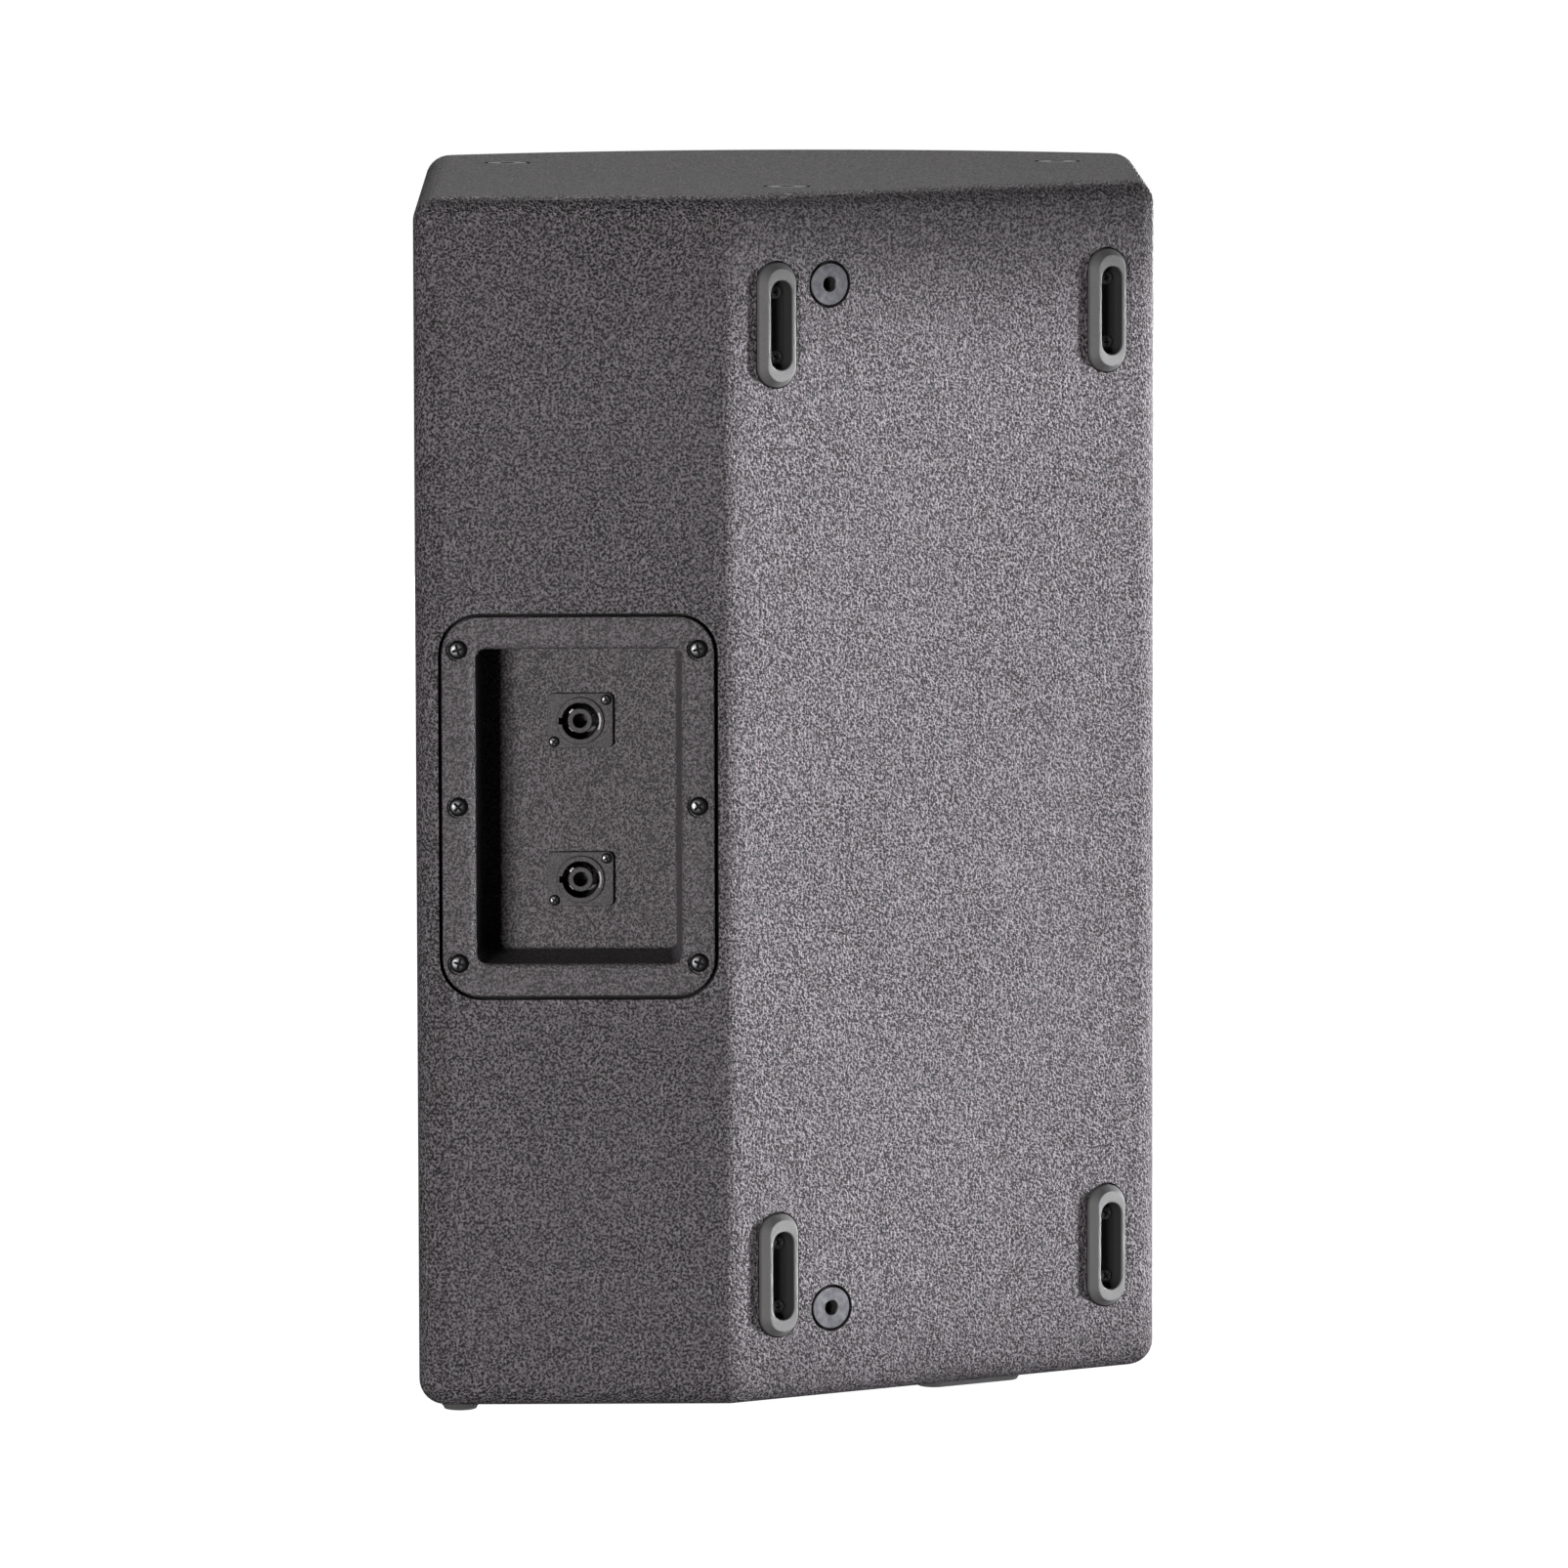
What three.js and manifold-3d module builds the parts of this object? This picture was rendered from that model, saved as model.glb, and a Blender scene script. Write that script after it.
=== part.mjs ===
// A passive two-way loudspeaker in a plywood cabinet with one slanted "monitor" side, so that it can
// stand upright or lie as a stage wedge. Millimetres, +Z up, front towards -Y, feet standing on z = 0.
// The cabinet is glued up from boards; the drivers, horn, input dish, feet and rigging bolts fit to it.
import * as THREE from "three";
import { mergeVertices } from "three/addons/utils/BufferGeometryUtils.js";
import Module from "manifold-3d";

const wasm = await Module();
wasm.setup();

// ---- Driving dimensions ---------------------------------------------------------------------------
const WIDTH = 350;
const DEPTH = 380; // from the crown of the curved front to the rear board
const HEIGHT = 570; // boards only, without the feet
const BOARD = 15;
const EDGE_R = 12; // round-over along the top and bottom edges
const CORNER_R = 14; // round-over up the standing corners
const RIDGE_X = 26; // where the rear board meets the monitor side
const MONITOR_ANGLE = Math.PI / 6; // slant of the monitor side from the rear board
const FRONT_SAG = 42; // how far the front bulges past the side boards
const GAP = 0.3; // clearance between two pieces that rest on each other

const FOOT = { length: 58.5, width: 20, sunk: 2, proud: 5, topLength: 52, topWidth: 15.5 };
const FOOT_SLOT = { length: 42, width: 11.5, floor: 2.6, screwPitch: 30.4, screwHole: 2 };
const DISH = { x: -98.8, y: 284.3, width: 127.5, height: 178.5, corner: 17.5, thick: 3 };
const TRAY = { width: 96, height: 148, depth: 43, corner: 5, wall: 2.5, draft: 2 };
const DISH_SCREWS = { x: 56.2, y: 73.8 };
const CONNECTOR = { x: 0.6, upper: 36.3, lower: -38.8, width: 31, height: 26, thick: 3, collar: 1.4 };
const BOLT = { headR: 9.9, shankR: 5, length: 30, socket: 6, sink: 5 };
const MONITOR_BOLT = { s: 52.5, inset: 43 };
const TOP_BOLTS = { sideX: 134, frontY: -76, rearY: 117.5 };

const BAFFLE_Y = -140; // front face of the baffle
const BAFFLE = 18;
const WOOFER_Z = 182;
const WOOFER = { flangeR: 155, holeR: 141.5, coneR: 118, neckR: 38.5, magnetR: 78 };
const HORN_Z = 448;
const HORN = { flange: 196, mouth: 176, depth: 104, throatR: 12.7, wall: 3 };
const PORT = { x: 128, width: 34, height: 150 };
const POLE_CUP = { x: 0, y: 6, boreR: 18, depth: 80, wall: 2.5, flangeR: 40 };

// ---- Derived dimensions ---------------------------------------------------------------------------
const BASE_Z = FOOT.proud;
const TOP_Z = BASE_Z + HEIGHT;
const REAR_Y = DEPTH / 2;
const SIDE_X = WIDTH / 2;
const INSIDE_X = SIDE_X - BOARD;
const FRONT_R = ((WIDTH / 2) ** 2 + FRONT_SAG ** 2) / (2 * FRONT_SAG);
const ARC_Y = FRONT_R - DEPTH / 2;
const MONITOR_OUT = new THREE.Vector3(-Math.sin(MONITOR_ANGLE), Math.cos(MONITOR_ANGLE), 0);
const MONITOR_LENGTH = (SIDE_X + RIDGE_X) / Math.cos(MONITOR_ANGLE);
const QUARTER = Math.PI / 2;

// ---- Materials ------------------------------------------------------------------------------------
const finish = (color, roughness, metalness = 0) =>
  new THREE.MeshStandardMaterial({ color, roughness, metalness });
const paintedWood = finish(0x232224, 0.75);
const bareWood = finish(0xb08a5a, 0.8);
const blackSteel = finish(0x1b1b1c, 0.5, 0.6);
const zincSteel = finish(0x8c8f93, 0.4, 1);
const blackPlastic = finish(0x2a2a2c, 0.55);
const rubber = finish(0x343436, 0.8);
const castAluminium = finish(0x3a3a3c, 0.5, 0.7);
const paper = finish(0x1a1918, 0.9);
const cloth = finish(0x6b5a34, 0.9);
const copper = finish(0xb06a3a, 0.35, 1);
const titanium = finish(0x9a9690, 0.3, 1);
const wadding = finish(0xc8c4b8, 1);
const circuitBoard = finish(0x1f4a2c, 0.6);
const cable = finish(0x202022, 0.6);

// ---- Solids: three.js shapes, joined and cut by manifold-3d ---------------------------------------
const IDENTITY = new THREE.Matrix4();

function solid(geometry, matrix = IDENTITY) {
  const bare = geometry.clone().applyMatrix4(matrix);
  bare.deleteAttribute("normal");
  bare.deleteAttribute("uv");
  const merged = mergeVertices(bare, 1e-4);
  const vertProperties = merged.attributes.position.array;
  const triVerts = new Uint32Array(merged.index.array);
  return new wasm.Manifold(new wasm.Mesh({ numProp: 3, vertProperties, triVerts }));
}

function geometryOf(body) {
  const mesh = body.getMesh();
  return new THREE.BufferGeometry()
    .setAttribute("position", new THREE.BufferAttribute(mesh.vertProperties, 3))
    .setIndex(new THREE.BufferAttribute(mesh.triVerts, 1));
}

const move = (x, y, z) => new THREE.Matrix4().makeTranslation(x, y, z);
const union = (...bodies) => bodies.reduce((all, body) => all.add(body));
const cut = (body, ...cutters) => cutters.reduce((left, cutter) => left.subtract(cutter), body);

function box(x0, x1, y0, y1, z0, z1, matrix = IDENTITY) {
  const centre = move((x0 + x1) / 2, (y0 + y1) / 2, (z0 + z1) / 2);
  return solid(new THREE.BoxGeometry(x1 - x0, y1 - y0, z1 - z0), matrix.clone().multiply(centre));
}

// A round bar along the local Z axis, from z0 to z1.
function bar(radius, z0, z1, sides = 16, x = 0, y = 0, topRadius = radius) {
  const geometry = new THREE.CylinderGeometry(topRadius, radius, z1 - z0, sides).rotateX(QUARTER);
  return solid(geometry, move(x, y, (z0 + z1) / 2));
}

// A flat plate with rounded corners, from z0 to z1. The far face can be narrower, by draft a side.
function roundedPlate(width, height, corner, z0, z1, curveSegments = 3, draftX = 0, draftY = draftX) {
  const x = width / 2 - corner;
  const y = height / 2 - corner;
  const outline = new THREE.Shape();
  outline.absarc(x, -y, corner, -QUARTER, 0);
  outline.absarc(x, y, corner, 0, QUARTER);
  outline.absarc(-x, y, corner, QUARTER, 2 * QUARTER);
  outline.absarc(-x, -y, corner, 2 * QUARTER, 3 * QUARTER);
  const options = { depth: z1 - z0, bevelEnabled: false, curveSegments };
  const geometry = new THREE.ExtrudeGeometry(outline, options);
  const position = geometry.attributes.position;
  for (let i = 0; i < position.count; i++) {
    const up = position.getZ(i) / (z1 - z0);
    position.setX(i, position.getX(i) * (1 - (up * 2 * draftX) / width));
    position.setY(i, position.getY(i) * (1 - (up * 2 * draftY) / height));
  }
  return solid(geometry, move(0, 0, z0));
}

// A body of revolution about Y. The profile is a list of [radius, y] that closes on itself or on the axis.
function turned(profile, segments = 32) {
  const points = profile.map(([radius, y]) => new THREE.Vector2(radius, y));
  const body = solid(new THREE.LatheGeometry(points, segments));
  if (body.volume() < 0) return turned([...profile].reverse(), segments);
  return body;
}

// A sheet of revolution: the middle line [radius, y] thickened along Y.
function turnedSheet(line, thickness, segments = 32) {
  const front = line.map(([radius, y]) => [radius, y - thickness / 2]);
  const back = line.map(([radius, y]) => [radius, y + thickness / 2]).reverse();
  const onAxis = line[0][0] === 0;
  return turned(onAxis ? [...front, ...back] : [...front, ...back, front[0]], segments);
}

// ---- Nodes and the faces that they sit on ---------------------------------------------------------
const speaker = new THREE.Group();

function addNode(name, body, material, group = speaker) {
  const mesh = new THREE.Mesh(geometryOf(body), material);
  mesh.name = name;
  group.add(mesh);
  return mesh;
}

// A frame on one face of the cabinet: local Z points out of the face and local Y up along it.
function faceFrame(origin, outward, up) {
  const frame = new THREE.Group();
  const sideways = new THREE.Vector3().crossVectors(up, outward);
  frame.position.copy(origin);
  frame.quaternion.setFromRotationMatrix(new THREE.Matrix4().makeBasis(sideways, up, outward));
  frame.updateMatrix();
  speaker.add(frame);
  return frame;
}

const UP = new THREE.Vector3(0, 0, 1);
const BACKWARD = new THREE.Vector3(0, 1, 0);
const rearFace = faceFrame(new THREE.Vector3(0, REAR_Y, BASE_Z), BACKWARD, UP);
const monitorFace = faceFrame(new THREE.Vector3(RIDGE_X, REAR_Y, BASE_Z), MONITOR_OUT, UP);
const topFace = faceFrame(new THREE.Vector3(0, 0, TOP_Z), UP, BACKWARD);
const bottomFace = faceFrame(new THREE.Vector3(0, 0, BASE_Z), UP.clone().negate(), BACKWARD);

// The matrix of a place on a face; turn is about the face's own outward axis.
function on(face, x, y, turn = 0) {
  return face.matrix.clone().multiply(move(x, y, 0)).multiply(new THREE.Matrix4().makeRotationZ(turn));
}

function fit(face, name, body, material, x, y, turn = 0) {
  const mesh = addNode(name, body, material, face);
  mesh.position.set(x, y, 0);
  mesh.rotation.z = turn;
  return mesh;
}

const placed = (body, matrix) => body.transform(matrix.toArray());

// ---- Cabinet plan ---------------------------------------------------------------------------------
// The outline seen from above, drawn in by inset, with its corners rounded to the given radius.
function planShape(inset, corner) {
  const k = inset + corner;
  const side = SIDE_X - k;
  const rear = REAR_Y - k;
  const slant = MONITOR_OUT.x * RIDGE_X + MONITOR_OUT.y * REAR_Y - k;
  const ridge = (slant - MONITOR_OUT.y * rear) / MONITOR_OUT.x;
  const shoulder = (slant + MONITOR_OUT.x * side) / MONITOR_OUT.y;
  const front = ARC_Y - Math.sqrt((FRONT_R - k) ** 2 - side ** 2);
  const lean = Math.asin(side / (FRONT_R - k));
  const down = 3 * QUARTER;
  const shape = new THREE.Shape();
  shape.absarc(side, front, corner, lean - QUARTER, 0);
  shape.absarc(side, rear, corner, 0, QUARTER);
  shape.absarc(ridge, rear, corner, QUARTER, QUARTER + MONITOR_ANGLE);
  shape.absarc(-side, shoulder, corner, QUARTER + MONITOR_ANGLE, 2 * QUARTER);
  shape.absarc(-side, front, corner, 2 * QUARTER, down - lean);
  shape.absarc(0, ARC_Y, FRONT_R - inset, down - lean, down);
  shape.absarc(0, ARC_Y, FRONT_R - inset, down, down + lean);
  return shape;
}

function prism(shape, z0, z1, curveSegments = 3) {
  const options = { depth: z1 - z0, bevelEnabled: false, curveSegments };
  return solid(new THREE.ExtrudeGeometry(shape, options), move(0, 0, z0));
}

function roundedCabinet() {
  const options = {
    depth: HEIGHT - 2 * EDGE_R,
    bevelThickness: EDGE_R,
    bevelSize: EDGE_R,
    bevelOffset: -EDGE_R,
    bevelSegments: 3,
    curveSegments: 3,
  };
  const geometry = new THREE.ExtrudeGeometry(planShape(0, CORNER_R), options);
  return solid(geometry, move(0, 0, BASE_Z + EDGE_R));
}

// ---- Fittings, each drawn at its face with Z pointing out of the cabinet --------------------------
function footPocket() {
  const clearance = 0.8;
  const length = FOOT.length + 2 * clearance;
  const width = FOOT.width + 2 * clearance;
  return roundedPlate(width, length, width / 2 - 0.01, -FOOT.sunk - GAP, 5, 2);
}

function foot() {
  const round = FOOT.width / 2 - 0.01;
  const slotRound = FOOT_SLOT.width / 2 - 0.01;
  const taperX = (FOOT.width - FOOT.topWidth) / 2;
  const taperY = (FOOT.length - FOOT.topLength) / 2;
  const base = roundedPlate(FOOT.width, FOOT.length, round, -FOOT.sunk, 0.4);
  const rim = roundedPlate(FOOT.width, FOOT.length, round, 0.4, FOOT.proud, 3, taperX, taperY);
  const slotFloor = FOOT_SLOT.floor - FOOT.sunk;
  const slot = roundedPlate(FOOT_SLOT.width, FOOT_SLOT.length, slotRound, slotFloor, FOOT.proud + 1, 2);
  const holes = [-1, 1].map((end) =>
    bar(FOOT_SLOT.screwHole, -FOOT.sunk - 1, FOOT.proud, 6, 0, (end * FOOT_SLOT.screwPitch) / 2),
  );
  return cut(union(base, rim), slot, ...holes);
}

function rigBolt() {
  const cone = BOLT.headR - BOLT.shankR;
  const head = bar(BOLT.shankR, -cone - GAP, -GAP, 18, 0, 0, BOLT.headR);
  const shank = bar(BOLT.shankR, -BOLT.length, -cone, 18);
  const socketR = BOLT.socket / 2 / Math.cos(Math.PI / 6);
  return cut(union(head, shank), bar(socketR, -BOLT.sink, 1, 6));
}

// The countersink and the clearance hole that a rigging bolt needs in its board.
function rigHole() {
  const mouth = BOLT.headR + 0.9;
  const cone = mouth - BOLT.shankR - GAP;
  const sink = bar(BOLT.shankR + GAP, -cone - 1, -1, 18, 0, 0, mouth);
  return union(sink, bar(mouth, -1, 3, 18), bar(BOLT.shankR + GAP, -BOARD - 5, -cone, 18));
}

// A round-headed screw with a cross recess, its head resting on the height called seat.
function screw(headR, headHeight, shankR, length, seat = 0, sides = 10) {
  const shoulder = seat + headHeight * 0.5;
  const top = seat + headHeight;
  const head = bar(headR, seat, shoulder, sides);
  const crown = bar(headR, shoulder, top, sides, 0, 0, headR * 0.6);
  const body = union(head, crown, bar(shankR, seat - length, seat, 6));
  const arm = headR * 0.5;
  const slot = headR * 0.14;
  const recess = [[arm, slot], [slot, arm]].map(([x, y]) => box(-x, x, -y, y, shoulder, top + 1));
  return cut(body, ...recess);
}

// ---- Cabinet boards -------------------------------------------------------------------------------
const FAR = 400; // longer than any piece, for cutting tools
const footPlaces = [
  { name: "foot_bottom_rear_long_side", face: bottomFace, x: -156, y: 140, turn: 0 },
  { name: "foot_bottom_front_long_side", face: bottomFace, x: -156, y: -104, turn: 0 },
  { name: "foot_bottom_front_short_side", face: bottomFace, x: 156, y: -104, turn: 0 },
  { name: "foot_bottom_rear_slanted", face: bottomFace, x: 85.7, y: 87.4, turn: 2 * MONITOR_ANGLE },
  { name: "foot_monitor_lower_rear", face: monitorFace, x: 23.5, y: 61, turn: 0 },
  { name: "foot_monitor_upper_rear", face: monitorFace, x: 23.5, y: 509, turn: 0 },
  { name: "foot_monitor_lower_front", face: monitorFace, x: 205.5, y: 61, turn: 0 },
  { name: "foot_monitor_upper_front", face: monitorFace, x: 205.5, y: 509, turn: 0 },
];
const boltPlaces = [
  { name: "rig_bolt_top_long_side", face: topFace, x: TOP_BOLTS.sideX, y: TOP_BOLTS.frontY },
  { name: "rig_bolt_top_short_side", face: topFace, x: -TOP_BOLTS.sideX, y: TOP_BOLTS.frontY },
  { name: "rig_bolt_top_rear", face: topFace, x: 0, y: TOP_BOLTS.rearY },
  { name: "rig_bolt_monitor_lower", face: monitorFace, x: MONITOR_BOLT.s, y: MONITOR_BOLT.inset },
  { name: "rig_bolt_monitor_upper", face: monitorFace, x: MONITOR_BOLT.s, y: HEIGHT - MONITOR_BOLT.inset },
];

// The pockets and bolt holes that one face's board needs.
function cuttersFor(face) {
  const pockets = footPlaces
    .filter((place) => place.face === face)
    .map((place) => placed(footPocket(), on(face, place.x, place.y, place.turn)));
  const holes = boltPlaces
    .filter((place) => place.face === face)
    .map((place) => placed(rigHole(), on(face, place.x, place.y)));
  return [...pockets, ...holes];
}

const cabinet = roundedCabinet();

function topBoard() {
  const slab = box(-FAR, FAR, -FAR, FAR, TOP_Z - BOARD, TOP_Z + 1);
  return cut(cabinet.intersect(slab), ...cuttersFor(topFace));
}

function bottomBoard() {
  const slab = box(-FAR, FAR, -FAR, FAR, BASE_Z - 1, BASE_Z + BOARD);
  const cup = POLE_CUP;
  const socket = bar(cup.boreR + cup.wall + GAP, 0, BASE_Z + BOARD + 1, 24, cup.x, cup.y);
  const rebate = bar(cup.flangeR + 0.8, 0, BASE_Z + 2 + GAP, 24, cup.x, cup.y);
  return cut(cabinet.intersect(slab), socket, rebate, ...cuttersFor(bottomFace));
}

// The standing boards, parted by a saw-thin gap at each joint.
function standingBoards() {
  const between = box(-FAR, FAR, -FAR, FAR, BASE_Z + BOARD + GAP, TOP_Z - BOARD - GAP);
  const inside = prism(planShape(BOARD, 0), 0, TOP_Z + 1);
  const doorway = box(-INSIDE_X, INSIDE_X, -FAR, 0, 0, TOP_Z + 1);
  const rearJoint = box(INSIDE_X - 2, FAR, REAR_Y - BOARD - GAP, REAR_Y - BOARD, 0, TOP_Z + 1);
  const mitre = (x, y, angle) => {
    const turn = new THREE.Matrix4().makeRotationZ(angle);
    return box(-40, 40, -GAP / 2, GAP / 2, 0, TOP_Z + 1, move(x, y, 0).multiply(turn));
  };
  const shoulderY = REAR_Y - (SIDE_X + RIDGE_X) * Math.tan(MONITOR_ANGLE);
  const ridge = mitre(RIDGE_X, REAR_Y, QUARTER + MONITOR_ANGLE / 2);
  const shoulder = mitre(-SIDE_X, shoulderY, 2 * QUARTER - MONITOR_ANGLE);
  const ring = cut(cabinet.intersect(between), inside, doorway, rearJoint, ridge, shoulder);
  const boards = ring.decompose().map((body) => {
    const { min, max } = body.boundingBox();
    return { body, x: (min[0] + max[0]) / 2, y: (min[1] + max[1]) / 2 };
  });
  return {
    rear: boards.find((b) => b.y > REAR_Y - BOARD).body,
    longSide: boards.find((b) => b.x > INSIDE_X).body,
    shortSide: boards.find((b) => b.x < -INSIDE_X).body,
    monitor: boards.find((b) => Math.abs(b.x) < INSIDE_X && b.y < REAR_Y - BOARD).body,
  };
}

// The hole for the dish's tray, its rebate for the flange, and the pilot holes for its screws.
function dishCutter() {
  const slack = 1.2;
  const tray = roundedPlate(TRAY.width + 2 * TRAY.wall + 2, TRAY.height + 2 * TRAY.wall + 2, 8, -30, 5, 1);
  const rebateDepth = DISH.thick + 1 + 2 * GAP;
  const rebate = roundedPlate(
    DISH.width + 2 * slack, DISH.height + 2 * slack, DISH.corner + slack, -rebateDepth, 5, 4,
  );
  return union(tray, rebate, ...dishScrewPlaces().map(([x, y]) => bar(1.8, -13, 0, 8, x, y)));
}

function dishScrewPlaces() {
  return [-1, 1].flatMap((side) => [1, 0, -1].map((row) => [side * DISH_SCREWS.x, row * DISH_SCREWS.y]));
}

const boards = standingBoards();
addNode("top_panel", topBoard(), paintedWood);
addNode("bottom_panel", bottomBoard(), paintedWood);
addNode("rear_panel", cut(boards.rear, placed(dishCutter(), on(rearFace, DISH.x, DISH.y))), paintedWood);
addNode("monitor_side_panel", cut(boards.monitor, ...cuttersFor(monitorFace)), paintedWood);
addNode("long_side_panel", boards.longSide, paintedWood);
addNode("short_side_panel", boards.shortSide, paintedWood);

// The baffle carries the drivers. A glued block in each corner takes a grille screw.
function baffle() {
  const z0 = BASE_Z + BOARD + GAP;
  const z1 = TOP_Z - BOARD - GAP;
  const x = INSIDE_X - GAP;
  const board = box(-x, x, BAFFLE_Y, BAFFLE_Y + BAFFLE, z0, z1);
  const behindGrille = bar(FRONT_R - 3 - 1.5 - 1, z0, z1, 128, 0, ARC_Y);
  const blocks = grilleScrewPlaces().map(([sx, sz]) => {
    const end = sz > HEIGHT / 2 ? z1 : z0;
    const [low, high] = [Math.min(end, sz - 12), Math.max(end, sz + 12)];
    const block = box(sx - 8, sx + 8, BAFFLE_Y - 20, BAFFLE_Y + 1, low, high);
    return block.intersect(behindGrille).intersect(box(-x, x, -FAR, FAR, z0, z1));
  });
  const front = new THREE.Matrix4().makeRotationX(QUARTER);
  const through = (body, cx, cz) => placed(body, move(cx, BAFFLE_Y, cz).multiply(front));
  const woofer = through(bar(WOOFER.holeR, -BAFFLE - 5, 5, 48), 0, WOOFER_Z);
  const horn = through(roundedPlate(HORN.mouth + 4, HORN.mouth + 4, 14, -BAFFLE - 5, 5), 0, HORN_Z);
  const ports = [-1, 1].map((side) =>
    through(roundedPlate(PORT.width, PORT.height, 15, -BAFFLE - 5, 5), side * PORT.x, HORN_Z),
  );
  const pilots = grilleScrewPlaces().map(([sx, sz]) => through(bar(1.9, -15, 40, 8), sx, sz));
  return cut(union(board, ...blocks), woofer, horn, ...ports, ...pilots);
}

function grilleScrewPlaces() {
  return [-1, 1].flatMap((side) => [34, TOP_Z - 30].map((z) => [side * 149, z]));
}

addNode("front_baffle", baffle(), bareWood);
// A board across the middle, between the side boards and clear of the drivers.
function crossBrace() {
  const plank = box(-INSIDE_X + GAP, INSIDE_X - GAP, 30, 90, 340, 355);
  const inside = prism(planShape(BOARD + GAP, 0.01), 330, 370);
  return cut(plank.intersect(inside), placed(roundedPlate(200, 32, 12, 330, 370, 1), move(0, 60, 0)));
}

addNode("cross_brace", crossBrace(), bareWood);

// ---- Curved steel grille, bent back along both sides ----------------------------------------------
function grille() {
  const outer = FRONT_R - 3;
  const half = INSIDE_X - 1.2;
  const thick = 1.5;
  const lip = 12;
  const lean = Math.asin(half / outer);
  const innerLean = Math.asin((half - thick) / (outer - thick));
  const down = 3 * QUARTER;
  const edge = ARC_Y - Math.sqrt(outer ** 2 - half ** 2);
  const shape = new THREE.Shape();
  shape.moveTo(-half, edge + lip);
  shape.absarc(0, ARC_Y, outer, down - lean, down);
  shape.absarc(0, ARC_Y, outer, down, down + lean);
  shape.lineTo(half, edge + lip);
  shape.lineTo(half - thick, edge + lip);
  shape.absarc(0, ARC_Y, outer - thick, down + innerLean, down, true);
  shape.absarc(0, ARC_Y, outer - thick, down, down - innerLean, true);
  shape.lineTo(-half + thick, edge + lip);
  const sheet = prism(shape, BASE_Z + BOARD + 1.2, TOP_Z - BOARD - 1.2, 6);
  const holes = grilleScrewPlaces().map(([x, z]) =>
    placed(bar(2.2, -10, 40, 8), move(x, BAFFLE_Y, z).multiply(new THREE.Matrix4().makeRotationX(QUARTER))),
  );
  return cut(sheet, ...holes);
}

addNode("grille", grille(), blackSteel);
grilleScrewPlaces().forEach(([x, z], index) => {
  const seatY = ARC_Y - Math.sqrt((FRONT_R - 3) ** 2 - (Math.abs(x) - 4) ** 2);
  const mesh = addNode(`grille_screw_${index + 1}`, screw(4, 2, 1.6, 26), blackSteel);
  mesh.position.set(x, seatY - GAP, z);
  mesh.rotation.x = QUARTER;
});

// ---- Input dish with its connectors, in the rear board --------------------------------------------
function dish() {
  const outerW = TRAY.width + 2 * TRAY.wall;
  const outerH = TRAY.height + 2 * TRAY.wall;
  const shell = TRAY.corner + TRAY.wall;
  const bottom = -TRAY.depth - TRAY.wall;
  const flip = new THREE.Matrix4().makeRotationX(2 * QUARTER);
  const flange = roundedPlate(DISH.width, DISH.height, DISH.corner, -DISH.thick - GAP, -GAP, 4);
  const tray = placed(roundedPlate(outerW, outerH, shell, 1, -bottom, 1, TRAY.draft), flip);
  const { width, height, corner, depth, draft } = TRAY;
  const hollow = placed(roundedPlate(width, height, corner, -1, depth, 2, draft), flip);
  const screws = dishScrewPlaces().flatMap(([x, y]) => [
    bar(2.3, -8, 1, 6, x, y),
    bar(4.9, -2.3, 1, 10, x, y),
  ]);
  const sockets = connectorPlaces().flatMap(([x, y]) => [
    bar(12, bottom - 1, -TRAY.depth + 1, 16, x, y),
    ...connectorScrews().map(([dx, dy]) => bar(1.7, bottom - 1, -TRAY.depth + 1, 5, x + dx, y + dy)),
  ]);
  return cut(union(flange, tray), hollow, ...screws, ...sockets);
}

function connectorPlaces() {
  return [CONNECTOR.upper, CONNECTOR.lower].map((y) => [CONNECTOR.x, y]);
}

function connectorScrews() {
  return [[12.3, 9.9], [-12.3, -9.9]];
}

function dishGasket() {
  const top = -DISH.thick - 2 * GAP;
  const outer = roundedPlate(DISH.width - 1, DISH.height - 1, DISH.corner, top - 1 + GAP, top, 2);
  const inner = roundedPlate(TRAY.width + 8, TRAY.height + 8, 8, top - 2, top + 1, 1);
  return cut(outer, inner, ...dishScrewPlaces().map(([x, y]) => bar(2.3, top - 3, top + 1, 6, x, y)));
}

// A four-pole speaker socket: square flange, round mouth, and a hollow key post in the middle.
function connector() {
  const seat = -TRAY.depth + GAP;
  const face = seat + CONNECTOR.thick;
  const rim = face + CONNECTOR.collar;
  const flange = roundedPlate(CONNECTOR.width, CONNECTOR.height, 3, seat, face, 1);
  const collar = bar(11.3, face - 1, rim, 20);
  const body = bar(11.3, seat - 22, seat + 1, 20);
  const terminals = box(-8, 8, -5, 5, seat - 30, seat - 21);
  const well = bar(8.8, seat - 18, rim + 1, 20);
  const post = cut(bar(5.8, seat - 19, rim - 1, 14), bar(3.4, seat - 14, rim + 1, 10));
  const keys = box(-10.1, 10.1, -1.6, 1.6, face - 6, rim + 1);
  const holes = connectorScrews().map(([x, y]) => bar(1.7, seat - 1, rim, 6, x, y));
  return union(cut(union(flange, collar, body, terminals), well, keys, ...holes), post);
}

fit(rearFace, "input_dish", dish(), blackPlastic, DISH.x, DISH.y);
fit(rearFace, "dish_gasket", dishGasket(), rubber, DISH.x, DISH.y);
dishScrewPlaces().forEach(([x, y], index) => {
  fit(rearFace, `dish_screw_${index + 1}`, screw(4.3, 2, 1.5, 10, -2), blackSteel, DISH.x + x, DISH.y + y);
});
connectorPlaces().forEach(([x, y], index) => {
  const level = ["upper", "lower"][index];
  fit(rearFace, `speaker_socket_${level}`, connector(), blackPlastic, DISH.x + x, DISH.y + y);
});

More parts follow.
